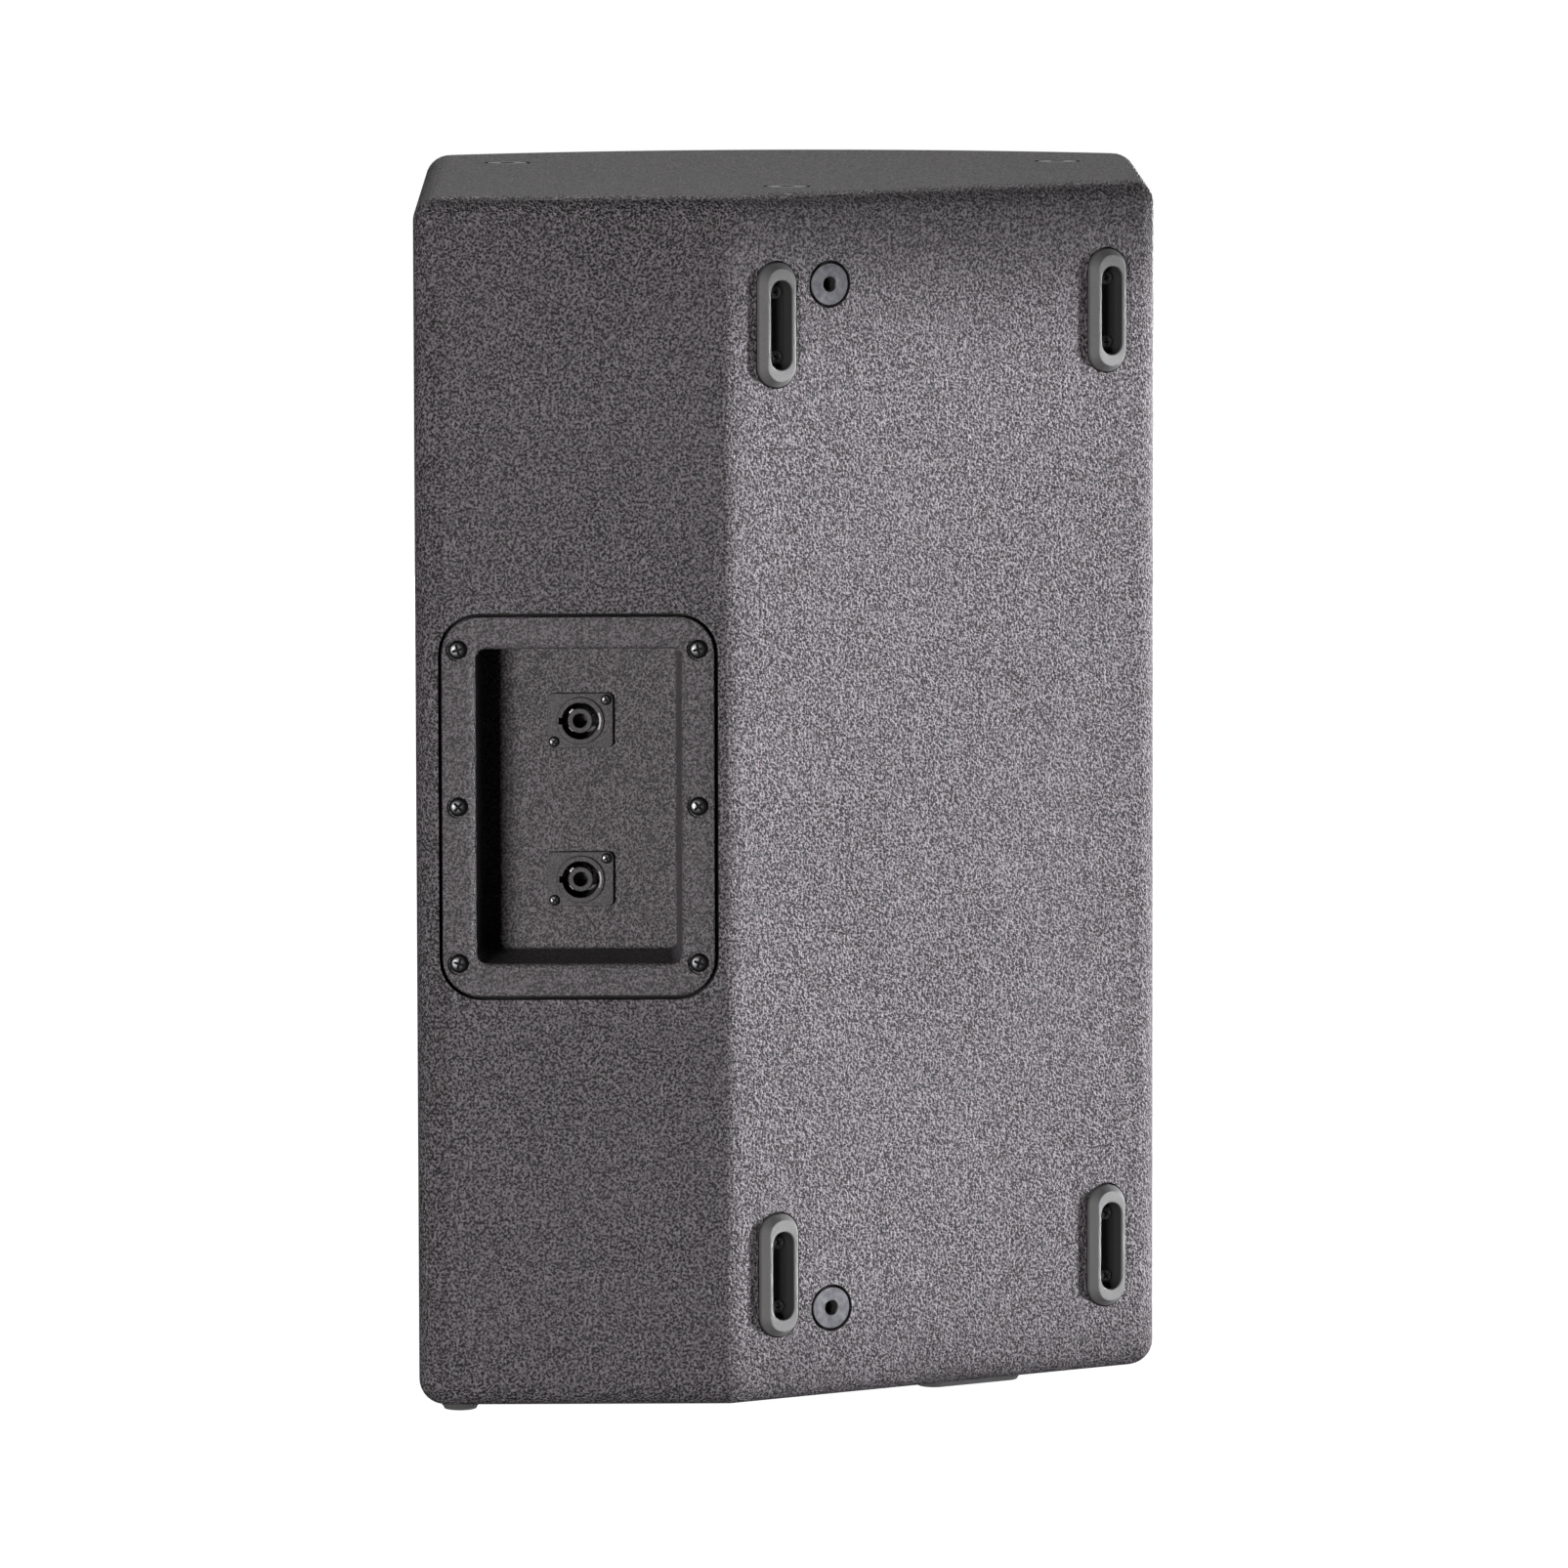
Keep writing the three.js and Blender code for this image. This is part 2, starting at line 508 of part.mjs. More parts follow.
// ---- Feet and rigging -----------------------------------------------------------------------------
for (const place of footPlaces) {
  fit(place.face, place.name, foot(), rubber, place.x, place.y, place.turn);
}
for (const place of boltPlaces) {
  fit(place.face, place.name, rigBolt(), blackSteel, place.x, place.y);
}

// The threaded steel plates behind the boards that the rigging bolts go into.
function rigPlate() {
  const seat = -BOARD - GAP;
  return cut(roundedPlate(44, 44, 5, seat - 4, seat, 1), bar(BOLT.shankR + GAP, -40, 0, 12));
}

for (const place of boltPlaces) {
  fit(place.face, place.name.replace("bolt", "plate"), rigPlate(), zincSteel, place.x, place.y);
}

// The cup in the bottom board that a 35 mm stand pole goes into.
function poleCup() {
  const { x, y, boreR, depth, wall, flangeR } = POLE_CUP;
  const flangeZ = BASE_Z + 2 - 2;
  const flange = bar(flangeR, flangeZ, flangeZ + 2, 28, x, y);
  const tube = bar(boreR + wall, flangeZ + 1, BASE_Z + depth + wall, 28, x, y);
  return cut(union(flange, tube), bar(boreR, -1, BASE_Z + depth, 28, x, y));
}

addNode("pole_cup", poleCup(), blackPlastic);

// ---- Woofer, turned about its own axis along Y ----------------------------------------------------
const wooferAxis = new THREE.Group();
wooferAxis.position.set(0, BAFFLE_Y, WOOFER_Z);
speaker.add(wooferAxis);

function wooferBasket() {
  const { flangeR, magnetR } = WOOFER;
  const shell = turned([
    [flangeR, -GAP], [flangeR, -5], [136, -5], [132, -2], [132, 6], [92, 62], [92, 70], [44, 70],
    [44, 75], [magnetR + 4, 75], [magnetR + 18, 70], [138, 6], [138, -GAP], [flangeR, -GAP],
  ]);
  const windows = [0, 1, 2, 3, 4].map((leg) => {
    const turn = new THREE.Matrix4().makeRotationY((leg * 2 * Math.PI) / 5);
    return placed(roundedPlate(92, 44, 10, 80, 150, 1), turn.multiply(move(0, 35, 0)));
  });
  const screws = [0, 1, 2, 3, 4, 5, 6, 7].map((place) => {
    const angle = ((place + 0.5) * Math.PI) / 4;
    const turn = new THREE.Matrix4().makeRotationX(QUARTER);
    const spot = move(147 * Math.cos(angle), 0, 147 * Math.sin(angle));
    return placed(bar(2.8, -3, 8, 5), spot.multiply(turn));
  });
  return cut(shell, ...windows, ...screws);
}

function wooferMagnet() {
  const front = 75 + GAP;
  return turned([
    [41, front], [WOOFER.magnetR, front], [WOOFER.magnetR, front + 50], [0, front + 50],
    [0, front], [36, front], [36, front + 38], [41, front + 38], [41, front],
  ], 24);
}

// The half-round edge that lets the cone move; its outer lip is on the basket, its inner lip on the cone.
function surround() {
  const line = [[117.5, 4]];
  for (let step = 0; step <= 4; step++) {
    const angle = Math.PI * (1 - step / 4);
    line.push([127 + 6.5 * Math.cos(angle), (3 - 9 * (step / 4)) - 6 * Math.sin(angle)]);
  }
  line.push([135.5, -6.2]);
  return turnedSheet(line, 1);
}

function cone() {
  const line = [[WOOFER.neckR + 1.2, 50], [60, 34], [90, 18], [WOOFER.coneR - 2, 6], [WOOFER.coneR, 6]];
  return turnedSheet(line, 1.6);
}

function dustCap() {
  const line = [];
  for (let step = 0; step <= 4; step++) {
    const angle = (step / 4) * 0.62;
    line.push([84 * Math.sin(angle), 25.2 + 84 * (1 - Math.cos(angle))]);
  }
  return turnedSheet(line, 1.2, 24);
}

function voiceCoil() {
  return turned([[37.6, 51.5], [39.6, 51.5], [39.6, 100], [37.6, 100], [37.6, 51.5]], 24);
}

function spider() {
  const line = [];
  for (let step = 0; step <= 8; step++) {
    line.push([40.2 + step * 6, 58 + step * 0.5 + 2 * (step % 2)]);
  }
  return turnedSheet(line, 0.8, 24);
}

addNode("woofer_basket", wooferBasket(), castAluminium, wooferAxis);
addNode("woofer_magnet", wooferMagnet(), blackSteel, wooferAxis);
addNode("woofer_surround", surround(), cloth, wooferAxis);
addNode("woofer_cone", cone(), paper, wooferAxis);
addNode("woofer_dust_cap", dustCap(), paper, wooferAxis);
addNode("woofer_voice_coil", voiceCoil(), copper, wooferAxis);
addNode("woofer_spider", spider(), cloth, wooferAxis);

// ---- Horn and compression driver ------------------------------------------------------------------
const hornAxis = new THREE.Group();
hornAxis.position.set(0, BAFFLE_Y, HORN_Z);
speaker.add(hornAxis);

// One ring of the flare, between a square mouth (blend 0) and a round throat (blend 1).
function flareRing(half, blend, y, sides = 20) {
  const power = 2 + 6 * (1 - blend) ** 2;
  const ring = [];
  for (let i = 0; i < sides; i++) {
    const angle = (2 * Math.PI * i) / sides;
    const c = Math.cos(angle);
    const s = Math.sin(angle);
    const reach = half / (Math.abs(c) ** power + Math.abs(s) ** power) ** (1 / power);
    ring.push([reach * c, y, reach * s]);
  }
  return ring;
}

// Skins a closed loop of rings, each with the same number of points.
function loft(rings) {
  const sides = rings[0].length;
  const positions = rings.flat(2);
  const index = [];
  rings.forEach((ring, r) => {
    const next = (r + 1) % rings.length;
    for (let i = 0; i < sides; i++) {
      const j = (i + 1) % sides;
      index.push(r * sides + i, r * sides + j, next * sides + j);
      index.push(r * sides + i, next * sides + j, next * sides + i);
    }
  });
  const geometry = new THREE.BufferGeometry();
  geometry.setAttribute("position", new THREE.Float32BufferAttribute(positions, 3));
  geometry.setIndex(index);
  return solid(geometry);
}

function horn() {
  const inside = [];
  const outside = [];
  const steps = 5;
  for (let step = 0; step <= steps; step++) {
    const t = step / steps;
    const flare = (1 - t) ** 1.8;
    const half = HORN.throatR + (HORN.mouth / 2 - 3 - HORN.throatR) * flare;
    const y = -4 + t * HORN.depth;
    inside.push(flareRing(half, t, y));
    outside.push(flareRing(half + HORN.wall, t, step === 0 ? y + 0.01 : y));
  }
  const bell = loft([...inside, ...outside.reverse()]);
  const front = new THREE.Matrix4().makeRotationX(QUARTER);
  const flange = placed(roundedPlate(HORN.flange, HORN.flange, 12, GAP, 5, 2), front);
  const mouth = placed(roundedPlate(HORN.mouth - 8, HORN.mouth - 8, 10, -3, 9, 1), front);
  const screws = [-1, 1].flatMap((sx) => [-1, 1].map((sz) => {
    return placed(bar(2.4, -1, 8, 6, sx * 91, sz * 91), front);
  }));
  const rear = bar(40, 0, 5, 20);
  const neck = placed(cut(rear, bar(HORN.throatR, -1, 9, 20)), move(0, HORN.depth - 4, 0).multiply(front));
  const skin = bell.volume() < 0 ? loft([...outside, ...inside.reverse()]) : bell;
  return union(cut(flange, mouth, ...screws), skin, neck);
}

function compressionDriver() {
  const y = HORN.depth - 4 + GAP;
  return turned([
    [HORN.throatR, y], [42, y], [55, y + 6], [55, y + 44], [46, y + 52], [0, y + 52],
    [0, y + 46], [30, y + 46], [30, y + 24], [HORN.throatR, y + 24], [HORN.throatR, y],
  ], 24);
}

function driverDiaphragm() {
  const y = HORN.depth - 4 + GAP;
  const line = [];
  for (let step = 0; step <= 3; step++) {
    const angle = (step / 3) * 0.8;
    line.push([31 * Math.sin(angle), y + 40 - 31 * (Math.cos(angle) - Math.cos(0.8))]);
  }
  line.push([28.5, y + 40]);
  return turnedSheet(line, 0.8, 20);
}

addNode("horn", horn(), blackPlastic, hornAxis);
addNode("compression_driver", compressionDriver(), blackSteel, hornAxis);
addNode("driver_diaphragm", driverDiaphragm(), titanium, hornAxis);

// ---- Crossover, wiring and damping ----------------------------------------------------------------
const boardX = INSIDE_X - GAP - 10;

function crossover() {
  const board = box(boardX - 2, boardX, -10, 120, 40, 150);
  const posts = [[0, 50], [0, 140], [110, 50], [110, 140]].map(([y, z]) =>
    box(boardX - 1, boardX + 10, y - 3, y + 3, z - 3, z + 3),
  );
  const sideways = new THREE.Matrix4().makeRotationY(-QUARTER);
  const coil = (y, z, radius) => {
    const ring = cut(bar(radius, 1.5, 24, 18), bar(radius * 0.45, 0, 26, 12));
    return placed(ring, move(boardX, y, z).multiply(sideways));
  };
  const capacitors = [70, 95].map((z) => box(boardX - 20, boardX - 1, 70, 112, z - 9, z + 9));
  const resistor = box(boardX - 12, boardX - 1, 60, 112, 46, 56);
  return union(board, ...posts, coil(25, 118, 24), coil(22, 66, 20), ...capacitors, resistor);
}

function wire(points, radius = 2.6) {
  const path = new THREE.CatmullRomCurve3(points.map(([x, y, z]) => new THREE.Vector3(x, y, z)));
  const section = new THREE.Shape().absarc(0, 0, radius, 0, 4 * QUARTER);
  const options = { steps: 14, extrudePath: path, curveSegments: 3 };
  return solid(new THREE.ExtrudeGeometry(section, options));
}

addNode("crossover_board", crossover(), circuitBoard);
addNode("input_wire", wire([
  [98, 111, BASE_Z + 244.5], [98, 98, 240], [118, 88, 205], [136, 84, 170], [142, 84, 152],
]), cable);
addNode("woofer_wire", wire([
  [147, 18, 38], [140, -10, 36], [118, -50, 60], [104, -66, 110], [98, -80, 145],
]), cable);
addNode("driver_wire", wire([
  [147, 60, 152], [140, 40, 180], [128, 10, 300], [112, 0, 400], [58, -12, 448],
]), cable);

const lining = roundedPlate(150, 250, 12, -BOARD - 23, -BOARD - 1, 1);
fit(monitorFace, "damping_wadding", lining, wadding, MONITOR_LENGTH / 2 + 22, 190);

export default speaker;
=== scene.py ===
import bpy, bmesh, math
from mathutils import Matrix, Vector


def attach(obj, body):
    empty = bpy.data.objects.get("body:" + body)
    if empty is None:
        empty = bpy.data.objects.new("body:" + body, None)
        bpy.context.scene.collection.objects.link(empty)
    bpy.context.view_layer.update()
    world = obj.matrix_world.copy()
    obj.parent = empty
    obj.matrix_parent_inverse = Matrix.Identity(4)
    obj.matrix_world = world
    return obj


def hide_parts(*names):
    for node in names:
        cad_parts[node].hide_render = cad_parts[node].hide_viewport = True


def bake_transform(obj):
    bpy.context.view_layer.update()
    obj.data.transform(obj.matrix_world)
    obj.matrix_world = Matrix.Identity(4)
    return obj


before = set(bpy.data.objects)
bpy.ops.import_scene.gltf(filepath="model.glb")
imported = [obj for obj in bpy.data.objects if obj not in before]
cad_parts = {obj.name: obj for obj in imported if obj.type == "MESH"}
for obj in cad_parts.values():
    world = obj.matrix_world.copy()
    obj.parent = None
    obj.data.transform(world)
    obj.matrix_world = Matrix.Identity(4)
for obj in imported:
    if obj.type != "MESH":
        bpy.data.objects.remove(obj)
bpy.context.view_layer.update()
mm = 0.001

# The camera looks at the back of the cabinet, a little from above. Its place is in millimetres.
view = {
    "place": (61.8, 5739.2, 920.5), "yaw": 0.61, "pitch": 6.382, "roll": 0.1245,
    "lens": 274.21, "sensor": 36, "reach": 200,
}


def newObject(name, data):
    made = bpy.data.objects.new(name, data)
    bpy.context.collection.objects.link(made)
    return made


def placeCamera():
    yaw, pitch, roll = (math.radians(view[k]) for k in ("yaw", "pitch", "roll"))
    right = Vector((-math.cos(yaw), math.sin(yaw), 0))
    level = math.cos(pitch)
    ahead = Vector((-math.sin(yaw) * level, -math.cos(yaw) * level, -math.sin(pitch)))
    up = right.cross(ahead)
    side = right * math.cos(roll) - up * math.sin(roll)
    top = right * math.sin(roll) + up * math.cos(roll)
    camera = newObject("camera", bpy.data.cameras.new("camera"))
    turn = Matrix((side, top, -ahead)).transposed().to_4x4()
    camera.matrix_world = Matrix.Translation(Vector(view["place"]) * mm) @ turn
    camera.data.lens = view["lens"]
    camera.data.sensor_width = view["sensor"]
    camera.data.clip_end = view["reach"]
    bpy.context.scene.camera = camera


studio = {
    # name: place, the point it faces, size (metres), spread (degrees), power (watts), colour
    "leftKey": ((1.95, 4.9, 0.12), (0, 0.1, 0.28), (1.1, 0.24), 180, 300, (1.0, 0.975, 0.975)),
    "rightKey": ((-0.95, 0.27, 0.272), (0, 0.27, 0.272), (0.44, 0.52), 8, 2.9, (0.985, 0.975, 1.0)),
    "sideFill": ((-2.6, -1.6, 0.4), (0, 0.1, 0.28), (1.2, 0.3), 180, 60, (1.0, 0.98, 0.985)),
    "overhead": ((0.1, -3.0, 2.6), (0, 0.1, 0.28), (2.0, 1.0), 180, 45, (1.0, 0.98, 0.985)),
    "front": ((-0.9, -3.8, 0.24), (0, 0.1, 0.28), (2.2, 0.5), 180, 120, (1.0, 0.99, 0.97)),
}
surroundings = {"ambient": 0.012, "background": 1.0, "floorGrey": 0.22, "floorReach": 40}


def lightStudio():
    for name, (place, faced, size, spread, power, colour) in studio.items():
        lamp = bpy.data.lights.new(name, "AREA")
        lamp.shape = "RECTANGLE"
        lamp.size, lamp.size_y = size
        lamp.spread = math.radians(spread)
        lamp.energy = power
        lamp.color = colour
        holder = newObject(name, lamp)
        holder.location = place
        holder.visible_camera = False
        ahead = Vector(faced) - Vector(place)
        holder.rotation_euler = ahead.to_track_quat("-Z", "Y").to_euler()


# Arithmetic on the sockets of a node tree.
class Wire:
    def __init__(self, tree, socket):
        self.tree = tree
        self.socket = socket

    def maths(self, operation, first, second):
        return self.tree.node("Math", {0: first, 1: second}, operation=operation)

    def __add__(self, other):
        return self.maths("ADD", self, other)

    def __radd__(self, other):
        return self.maths("ADD", other, self)

    def __sub__(self, other):
        return self.maths("SUBTRACT", self, other)

    def __rsub__(self, other):
        return self.maths("SUBTRACT", other, self)

    def __mul__(self, other):
        return self.maths("MULTIPLY", self, other)

    def __rmul__(self, other):
        return self.maths("MULTIPLY", other, self)

    def __truediv__(self, other):
        return self.maths("DIVIDE", self, other)

    def __mod__(self, other):
        return self.maths("FLOORED_MODULO", self, other)

    def sine(self):
        return self.maths("SINE", self, 0)

    def cosine(self):
        return self.maths("COSINE", self, 0)


class Tree:
    def __init__(self, nodeTree):
        self.nodes = nodeTree.nodes
        self.links = nodeTree.links

    # A new node: its settings first, then the value or link of each input. Gives back one output.
    # A kind without Node in its name is a shader node.
    def node(self, kind, inputs=None, out=0, **settings):
        made = self.nodes.new(kind if "Node" in kind else "ShaderNode" + kind)
        for name, value in settings.items():
            if name == "stops":
                self.setStops(made.color_ramp, value)
            else:
                setattr(made, name, value)
        for name, value in (inputs or {}).items():
            if isinstance(value, Wire):
                self.links.new(value.socket, made.inputs[name])
            else:
                made.inputs[name].default_value = value
        return Wire(self, made.outputs[out]) if len(made.outputs) else made

    def setStops(self, ramp, stops):
        while len(ramp.elements) < len(stops):
            ramp.elements.new(1)
        for element, (place, level) in zip(ramp.elements, stops):
            element.position = place
            element.color = (*level, 1) if isinstance(level, tuple) else (level, level, level, 1)


class Finish(Tree):
    def __init__(self, name):
        self.material = bpy.data.materials.new(name)
        self.material.use_nodes = True
        super().__init__(self.material.node_tree)
        self.nodes.clear()
        self.place = self.node("TexCoord", out=3)
        self.normal = None

    def stretched(self, x, y, z):
        return self.node("Mapping", {"Vector": self.place, "Scale": (x, y, z)})

    def noise(self, size, detail, rough=0.6, where=None):
        inputs = {"Vector": where or self.place, "Scale": 1 / (size * mm)}
        inputs.update({"Detail": detail, "Roughness": rough})
        return self.node("TexNoise", inputs)

    def cells(self, size):
        inputs = {"Vector": self.place, "Scale": 1 / (size * mm)}
        return self.node("TexVoronoi", inputs)

    def ramp(self, value, *stops):
        return self.node("ValToRGB", {"Fac": value}, stops=stops)

    def blend(self, amount, first, second):
        return self.node("Mix", {0: amount, 6: first, 7: second}, out=2, data_type="RGBA")

    def bump(self, height, depth):
        inputs = {"Height": height, "Distance": depth * mm}
        if self.normal:
            inputs["Normal"] = self.normal
        self.normal = self.node("Bump", inputs)

    # Closes the material. Colour and roughness may vary over the surface, the rest is constant.
    def close(self, colour, rough, **constants):
        inputs = {"Base Color": colour, "Roughness": rough}
        if self.normal:
            inputs["Normal"] = self.normal
        inputs.update({name.replace("_", " "): value for name, value in constants.items()})
        return self.show(self.node("BsdfPrincipled", inputs))

    def show(self, surface):
        self.node("OutputMaterial", {"Surface": surface})
        return self.material


def grey(level, warm=0.0):
    return (level * (1 + warm), level, level * (1 - warm), 1)


def darker(tone, share):
    return tuple(part * share for part in tone) + (1,)


# The floor looks white, lights the cabinet as grey paper, and is clear from below.
def makeStudioSurfaces():
    s = surroundings
    world = bpy.data.worlds.new("studio")
    world.use_nodes = True
    bpy.context.scene.world = world
    tree = Tree(world.node_tree)
    tree.nodes.clear()
    seen = tree.node("LightPath")
    level = seen * (s["background"] - s["ambient"]) + s["ambient"]
    sky = tree.node("Background", {"Color": grey(1), "Strength": level})
    tree.node("OutputWorld", {"Surface": sky})

    f = Finish("floorPaper")
    seen = f.node("LightPath")
    paper = f.node("BsdfDiffuse", {"Color": grey(s["floorGrey"])})
    glow = f.node("Emission", {"Color": grey(1), "Strength": 1.0})
    lit = f.node("AddShader", {0: paper, 1: glow})
    below = f.node("NewGeometry", out=6)
    clear = f.node("BsdfTransparent")
    shown = f.node("MixShader", {0: below, 1: lit, 2: clear})
    mix = f.node("MixShader", {0: seen, 1: paper, 2: shown})

    floorMesh = bpy.data.meshes.new("floor")
    reach = s["floorReach"]
    corners = [(-reach, -reach, 0), (reach, -reach, 0), (reach, reach, 0), (-reach, reach, 0)]
    floorMesh.from_pydata(corners, [], [(0, 1, 2, 3)])
    floorMesh.materials.append(f.show(mix))
    newObject("floor", floorMesh)
    bpy.context.scene.view_settings.view_transform = "Standard"


placeCamera()
lightStudio()
makeStudioSurfaces()
print("camera, lights and floor are placed")

paintLook = {"dark": 0.006, "light": 0.16, "depth": 2.7, "grain": 1.3}
violetTint = (1.03, 0.965, 1.04)
fullThreads = 160  # a wave texture's scale for threads of one millimetre


# Textured paint or moulded grain: pale tips on a dark ground, over real bumps. The pale tips on the
# bump peaks are painted highlights.
def makePaint(name, dark, light, depth, grain, gloss=0.25):
    f = Finish(name)
    bumps = f.noise(grain, 1)
    grit = f.cells(grain * 0.8)
    height = bumps * 0.7 + grit * 0.3
    patches = f.noise(60, 2, 0.5)
    # Painted highlight: the peaks of the bumps take the pale tip colour.
    litPeaks = f.ramp(height, (0.42, 0.0), (0.62, 1.0))
    glintTip = tuple(light * part for part in violetTint) + (1,)
    colour = f.blend(litPeaks, grey(dark, 0.02), glintTip)
    colour = f.blend(patches * 0.16, colour, glintTip)
    f.bump(height, depth)
    return f.close(colour, f.ramp(height, (0.3, 0.65), (0.7, 0.42)), Specular_IOR_Level=gloss)


def makePlastic(name, level, grain, rough, depth=0.05, warm=0.0):
    f = Finish(name)
    fine = f.noise(grain, 2)
    wear = f.noise(14, 3)
    colour = f.blend(wear * 0.25, grey(level * 0.9, warm), grey(level * 1.3, warm))
    colour = f.blend(f.ramp(fine, (0.35, 0.0), (0.7, 0.4)), colour, grey(level * 1.7, warm))
    f.bump(fine, depth)
    return f.close(colour, f.ramp(wear, (0.3, rough - 0.05), (0.7, rough + 0.07)))


def makeMetal(name, colour, rough, grain=0.4, depth=0.01, metal=1.0):
    f = Finish(name)
    tarnish = f.noise(3.5, 3)
    f.bump(f.noise(grain, 3), depth)
    tone = f.blend(f.ramp(tarnish, (0.35, 0.0), (0.68, 1.0)), darker(colour, 0.6), (*colour, 1))
    return f.close(tone, f.ramp(tarnish, (0.3, rough + 0.1), (0.7, rough)), Metallic=metal)


def makeWood(name, tone):
    f = Finish(name)
    along = f.noise(9, 5, 0.65, f.stretched(1, 1, 0.07))
    pores = f.noise(0.9, 2, 0.6, f.stretched(1, 1, 0.05))
    dark = darker(tone, 0.62)
    colour = f.blend(f.ramp(along, (0.35, 0.0), (0.65, 1.0)), dark, (*tone, 1))
    colour = f.blend(f.ramp(pores, (0.6, 0.0), (0.75, 0.5)), colour, dark)
    f.bump(pores, 0.08)
    return f.close(colour, f.ramp(along, (0.3, 0.6), (0.7, 0.78)))


def makeCloth(name, tone, pitch):
    f = Finish(name)
    inputs = {"Vector": f.place, "Scale": fullThreads / pitch}
    warp = f.node("TexWave", inputs, bands_direction="X")
    weft = f.node("TexWave", inputs, bands_direction="Z")
    threads = warp * 0.5 + weft * 0.5
    f.bump(threads, 0.12)
    colour = f.blend(threads, darker(tone, 0.55), (*tone, 1))
    return f.close(colour, f.ramp(threads, (0, 0.9), (1, 0.75)), Sheen_Weight=0.3)


def makeFibre(name, tone):
    f = Finish(name)
    strands = f.noise(2.2, 6, 0.75)
    clumps = f.noise(22, 3)
    f.bump(strands * 0.6 + clumps * 0.4, 1.6)
    colour = f.blend(strands * 0.7 + clumps * 0.3, darker(tone, 0.6), (*tone, 1))
    return f.close(colour, 0.95, Sheen_Weight=0.5)


cabinetPaint = makePaint("cabinetPaint", **paintLook)
bafflePaint = makePaint("bafflePaint", 0.006, 0.02, 0.3, 1.0)
plywood = makeWood("birchPlywood", (0.52, 0.37, 0.22))
dishPlastic = makePaint("dishPlastic", 0.022, 0.125, 1.2, 1.1, 0.3)
socketPlastic = makePaint("socketPlastic", 0.03, 0.075, 0.12, 0.7, 0.22)
blackPlastic = makePlastic("blackPlastic", 0.012, 0.5, 0.45)
footRubber = makePlastic("footRubber", 0.072, 0.7, 0.6, 0.05)
# A darker copy of the foot rubber, as painted shade in the slots of the feet.
slotRubber = makePlastic("slotRubber", 0.014, 0.7, 0.6, 0.03)
blackRubber = makePlastic("blackRubber", 0.006, 0.6, 0.85)
hornPlastic = makePlastic("hornPlastic", 0.016, 0.6, 0.42, 0.03)
shadowBlack = makePlastic("shadowBlack", 0.0015, 0.6, 0.95)
boltSteel = makeMetal("boltSteel", (0.085, 0.086, 0.092), 0.5, 0.9, 0.06)
screwSteel = makeMetal("screwSteel", (0.11, 0.11, 0.115), 0.3)
# A brighter copy of the screw steel, as painted light on the screws deep in the shaded slots of the
# feet.
footScrewSteel = makeMetal("footScrewSteel", (0.4, 0.4, 0.41), 0.34)
zincSteel = makeMetal("zincSteel", (0.62, 0.63, 0.65), 0.35)
brightSteel = makeMetal("brightSteel", (0.75, 0.75, 0.76), 0.18)
grilleCoat = makeMetal("grilleCoat", (0.014, 0.014, 0.015), 0.42, 0.5, 0.04, 0.0)
castCoat = makeMetal("castCoat", (0.03, 0.03, 0.032), 0.5, 0.8, 0.05, 0.0)
conePaper = makePlastic("conePaper", 0.014, 0.9, 0.82, 0.1, 0.05)
surroundCloth = makeCloth("surroundCloth", (0.028, 0.026, 0.024), 0.8)
spiderCloth = makeCloth("spiderCloth", (0.30, 0.22, 0.10), 0.7)
copperWinding = makeMetal("copperWinding", (0.80, 0.42, 0.22), 0.3)
titaniumFoil = makeMetal("titaniumFoil", (0.60, 0.58, 0.55), 0.28)
boardGreen = makePlastic("circuitBoard", 0.03, 2.0, 0.4)
cableJacket = makePlastic("cableJacket", 0.01, 0.8, 0.5)
paleWadding = makeFibre("paleWadding", (0.72, 0.71, 0.67))
print("finishes are made")

# From here on sizes are in millimetres, and z points out of the face that a piece sits on.
cabinet = {
    "halfWidth": 175, "rearY": 190, "sag": 42, "baseZ": 5, "height": 570,
    "board": 15, "edge": 12, "corner": 14, "ridgeX": 26, "slant": math.radians(30),
    "baffleY": -140,
}
outward = Vector((-math.sin(cabinet["slant"]), math.cos(cabinet["slant"]), 0))


def face(origin, out, up):
    side = Vector(up).cross(Vector(out))
    return Matrix.Translation(origin) @ Matrix((side, up, out)).transposed().to_4x4()


baseZ = cabinet["baseZ"]
topZ = baseZ + cabinet["height"]
rearFace = face((0, cabinet["rearY"], baseZ), (0, 1, 0), (0, 0, 1))
monitorFace = face((cabinet["ridgeX"], cabinet["rearY"], baseZ), outward, (0, 0, 1))
topFace = face((0, 0, topZ), (0, 0, 1), (0, 1, 0))
bottomFace = face((0, 0, baseZ), (0, 0, -1), (0, 1, 0))
frontFace = face((0, cabinet["baffleY"], 0), (0, -1, 0), (0, 0, 1))


def at(where, x, y, turn=0, z=0):
    return where @ Matrix.Translation((x, y, z)) @ Matrix.Rotation(turn, 4, "Z")


# Sines and cosines of a quarter turn in equal steps, for rounded edges.
def quarter(steps):
    turns = [k / steps * math.pi / 2 for k in range(steps + 1)]
    return [(math.sin(t), math.cos(t)) for t in turns]


def polar(radius, turn):
    return radius * math.cos(turn), radius * math.sin(turn)


def circle(radius, z, count):
    return [(*polar(radius, 2 * math.pi * i / count), z) for i in range(count)]


def rounded(width, height, corner, z, steps=6):
    x, y = width / 2 - corner, height / 2 - corner
    ring = []
    for side, (cx, cy) in enumerate(((x, -y), (x, y), (-x, y), (-x, -y))):
        for i in range(steps + 1):
            t = (side - 1 + i / steps) * math.pi / 2
            ring.append((cx + corner * math.cos(t), cy + corner * math.sin(t), z))
    return ring


def oval(width, length, z):
    return rounded(width, length, width / 2 - 0.02, z, 8)


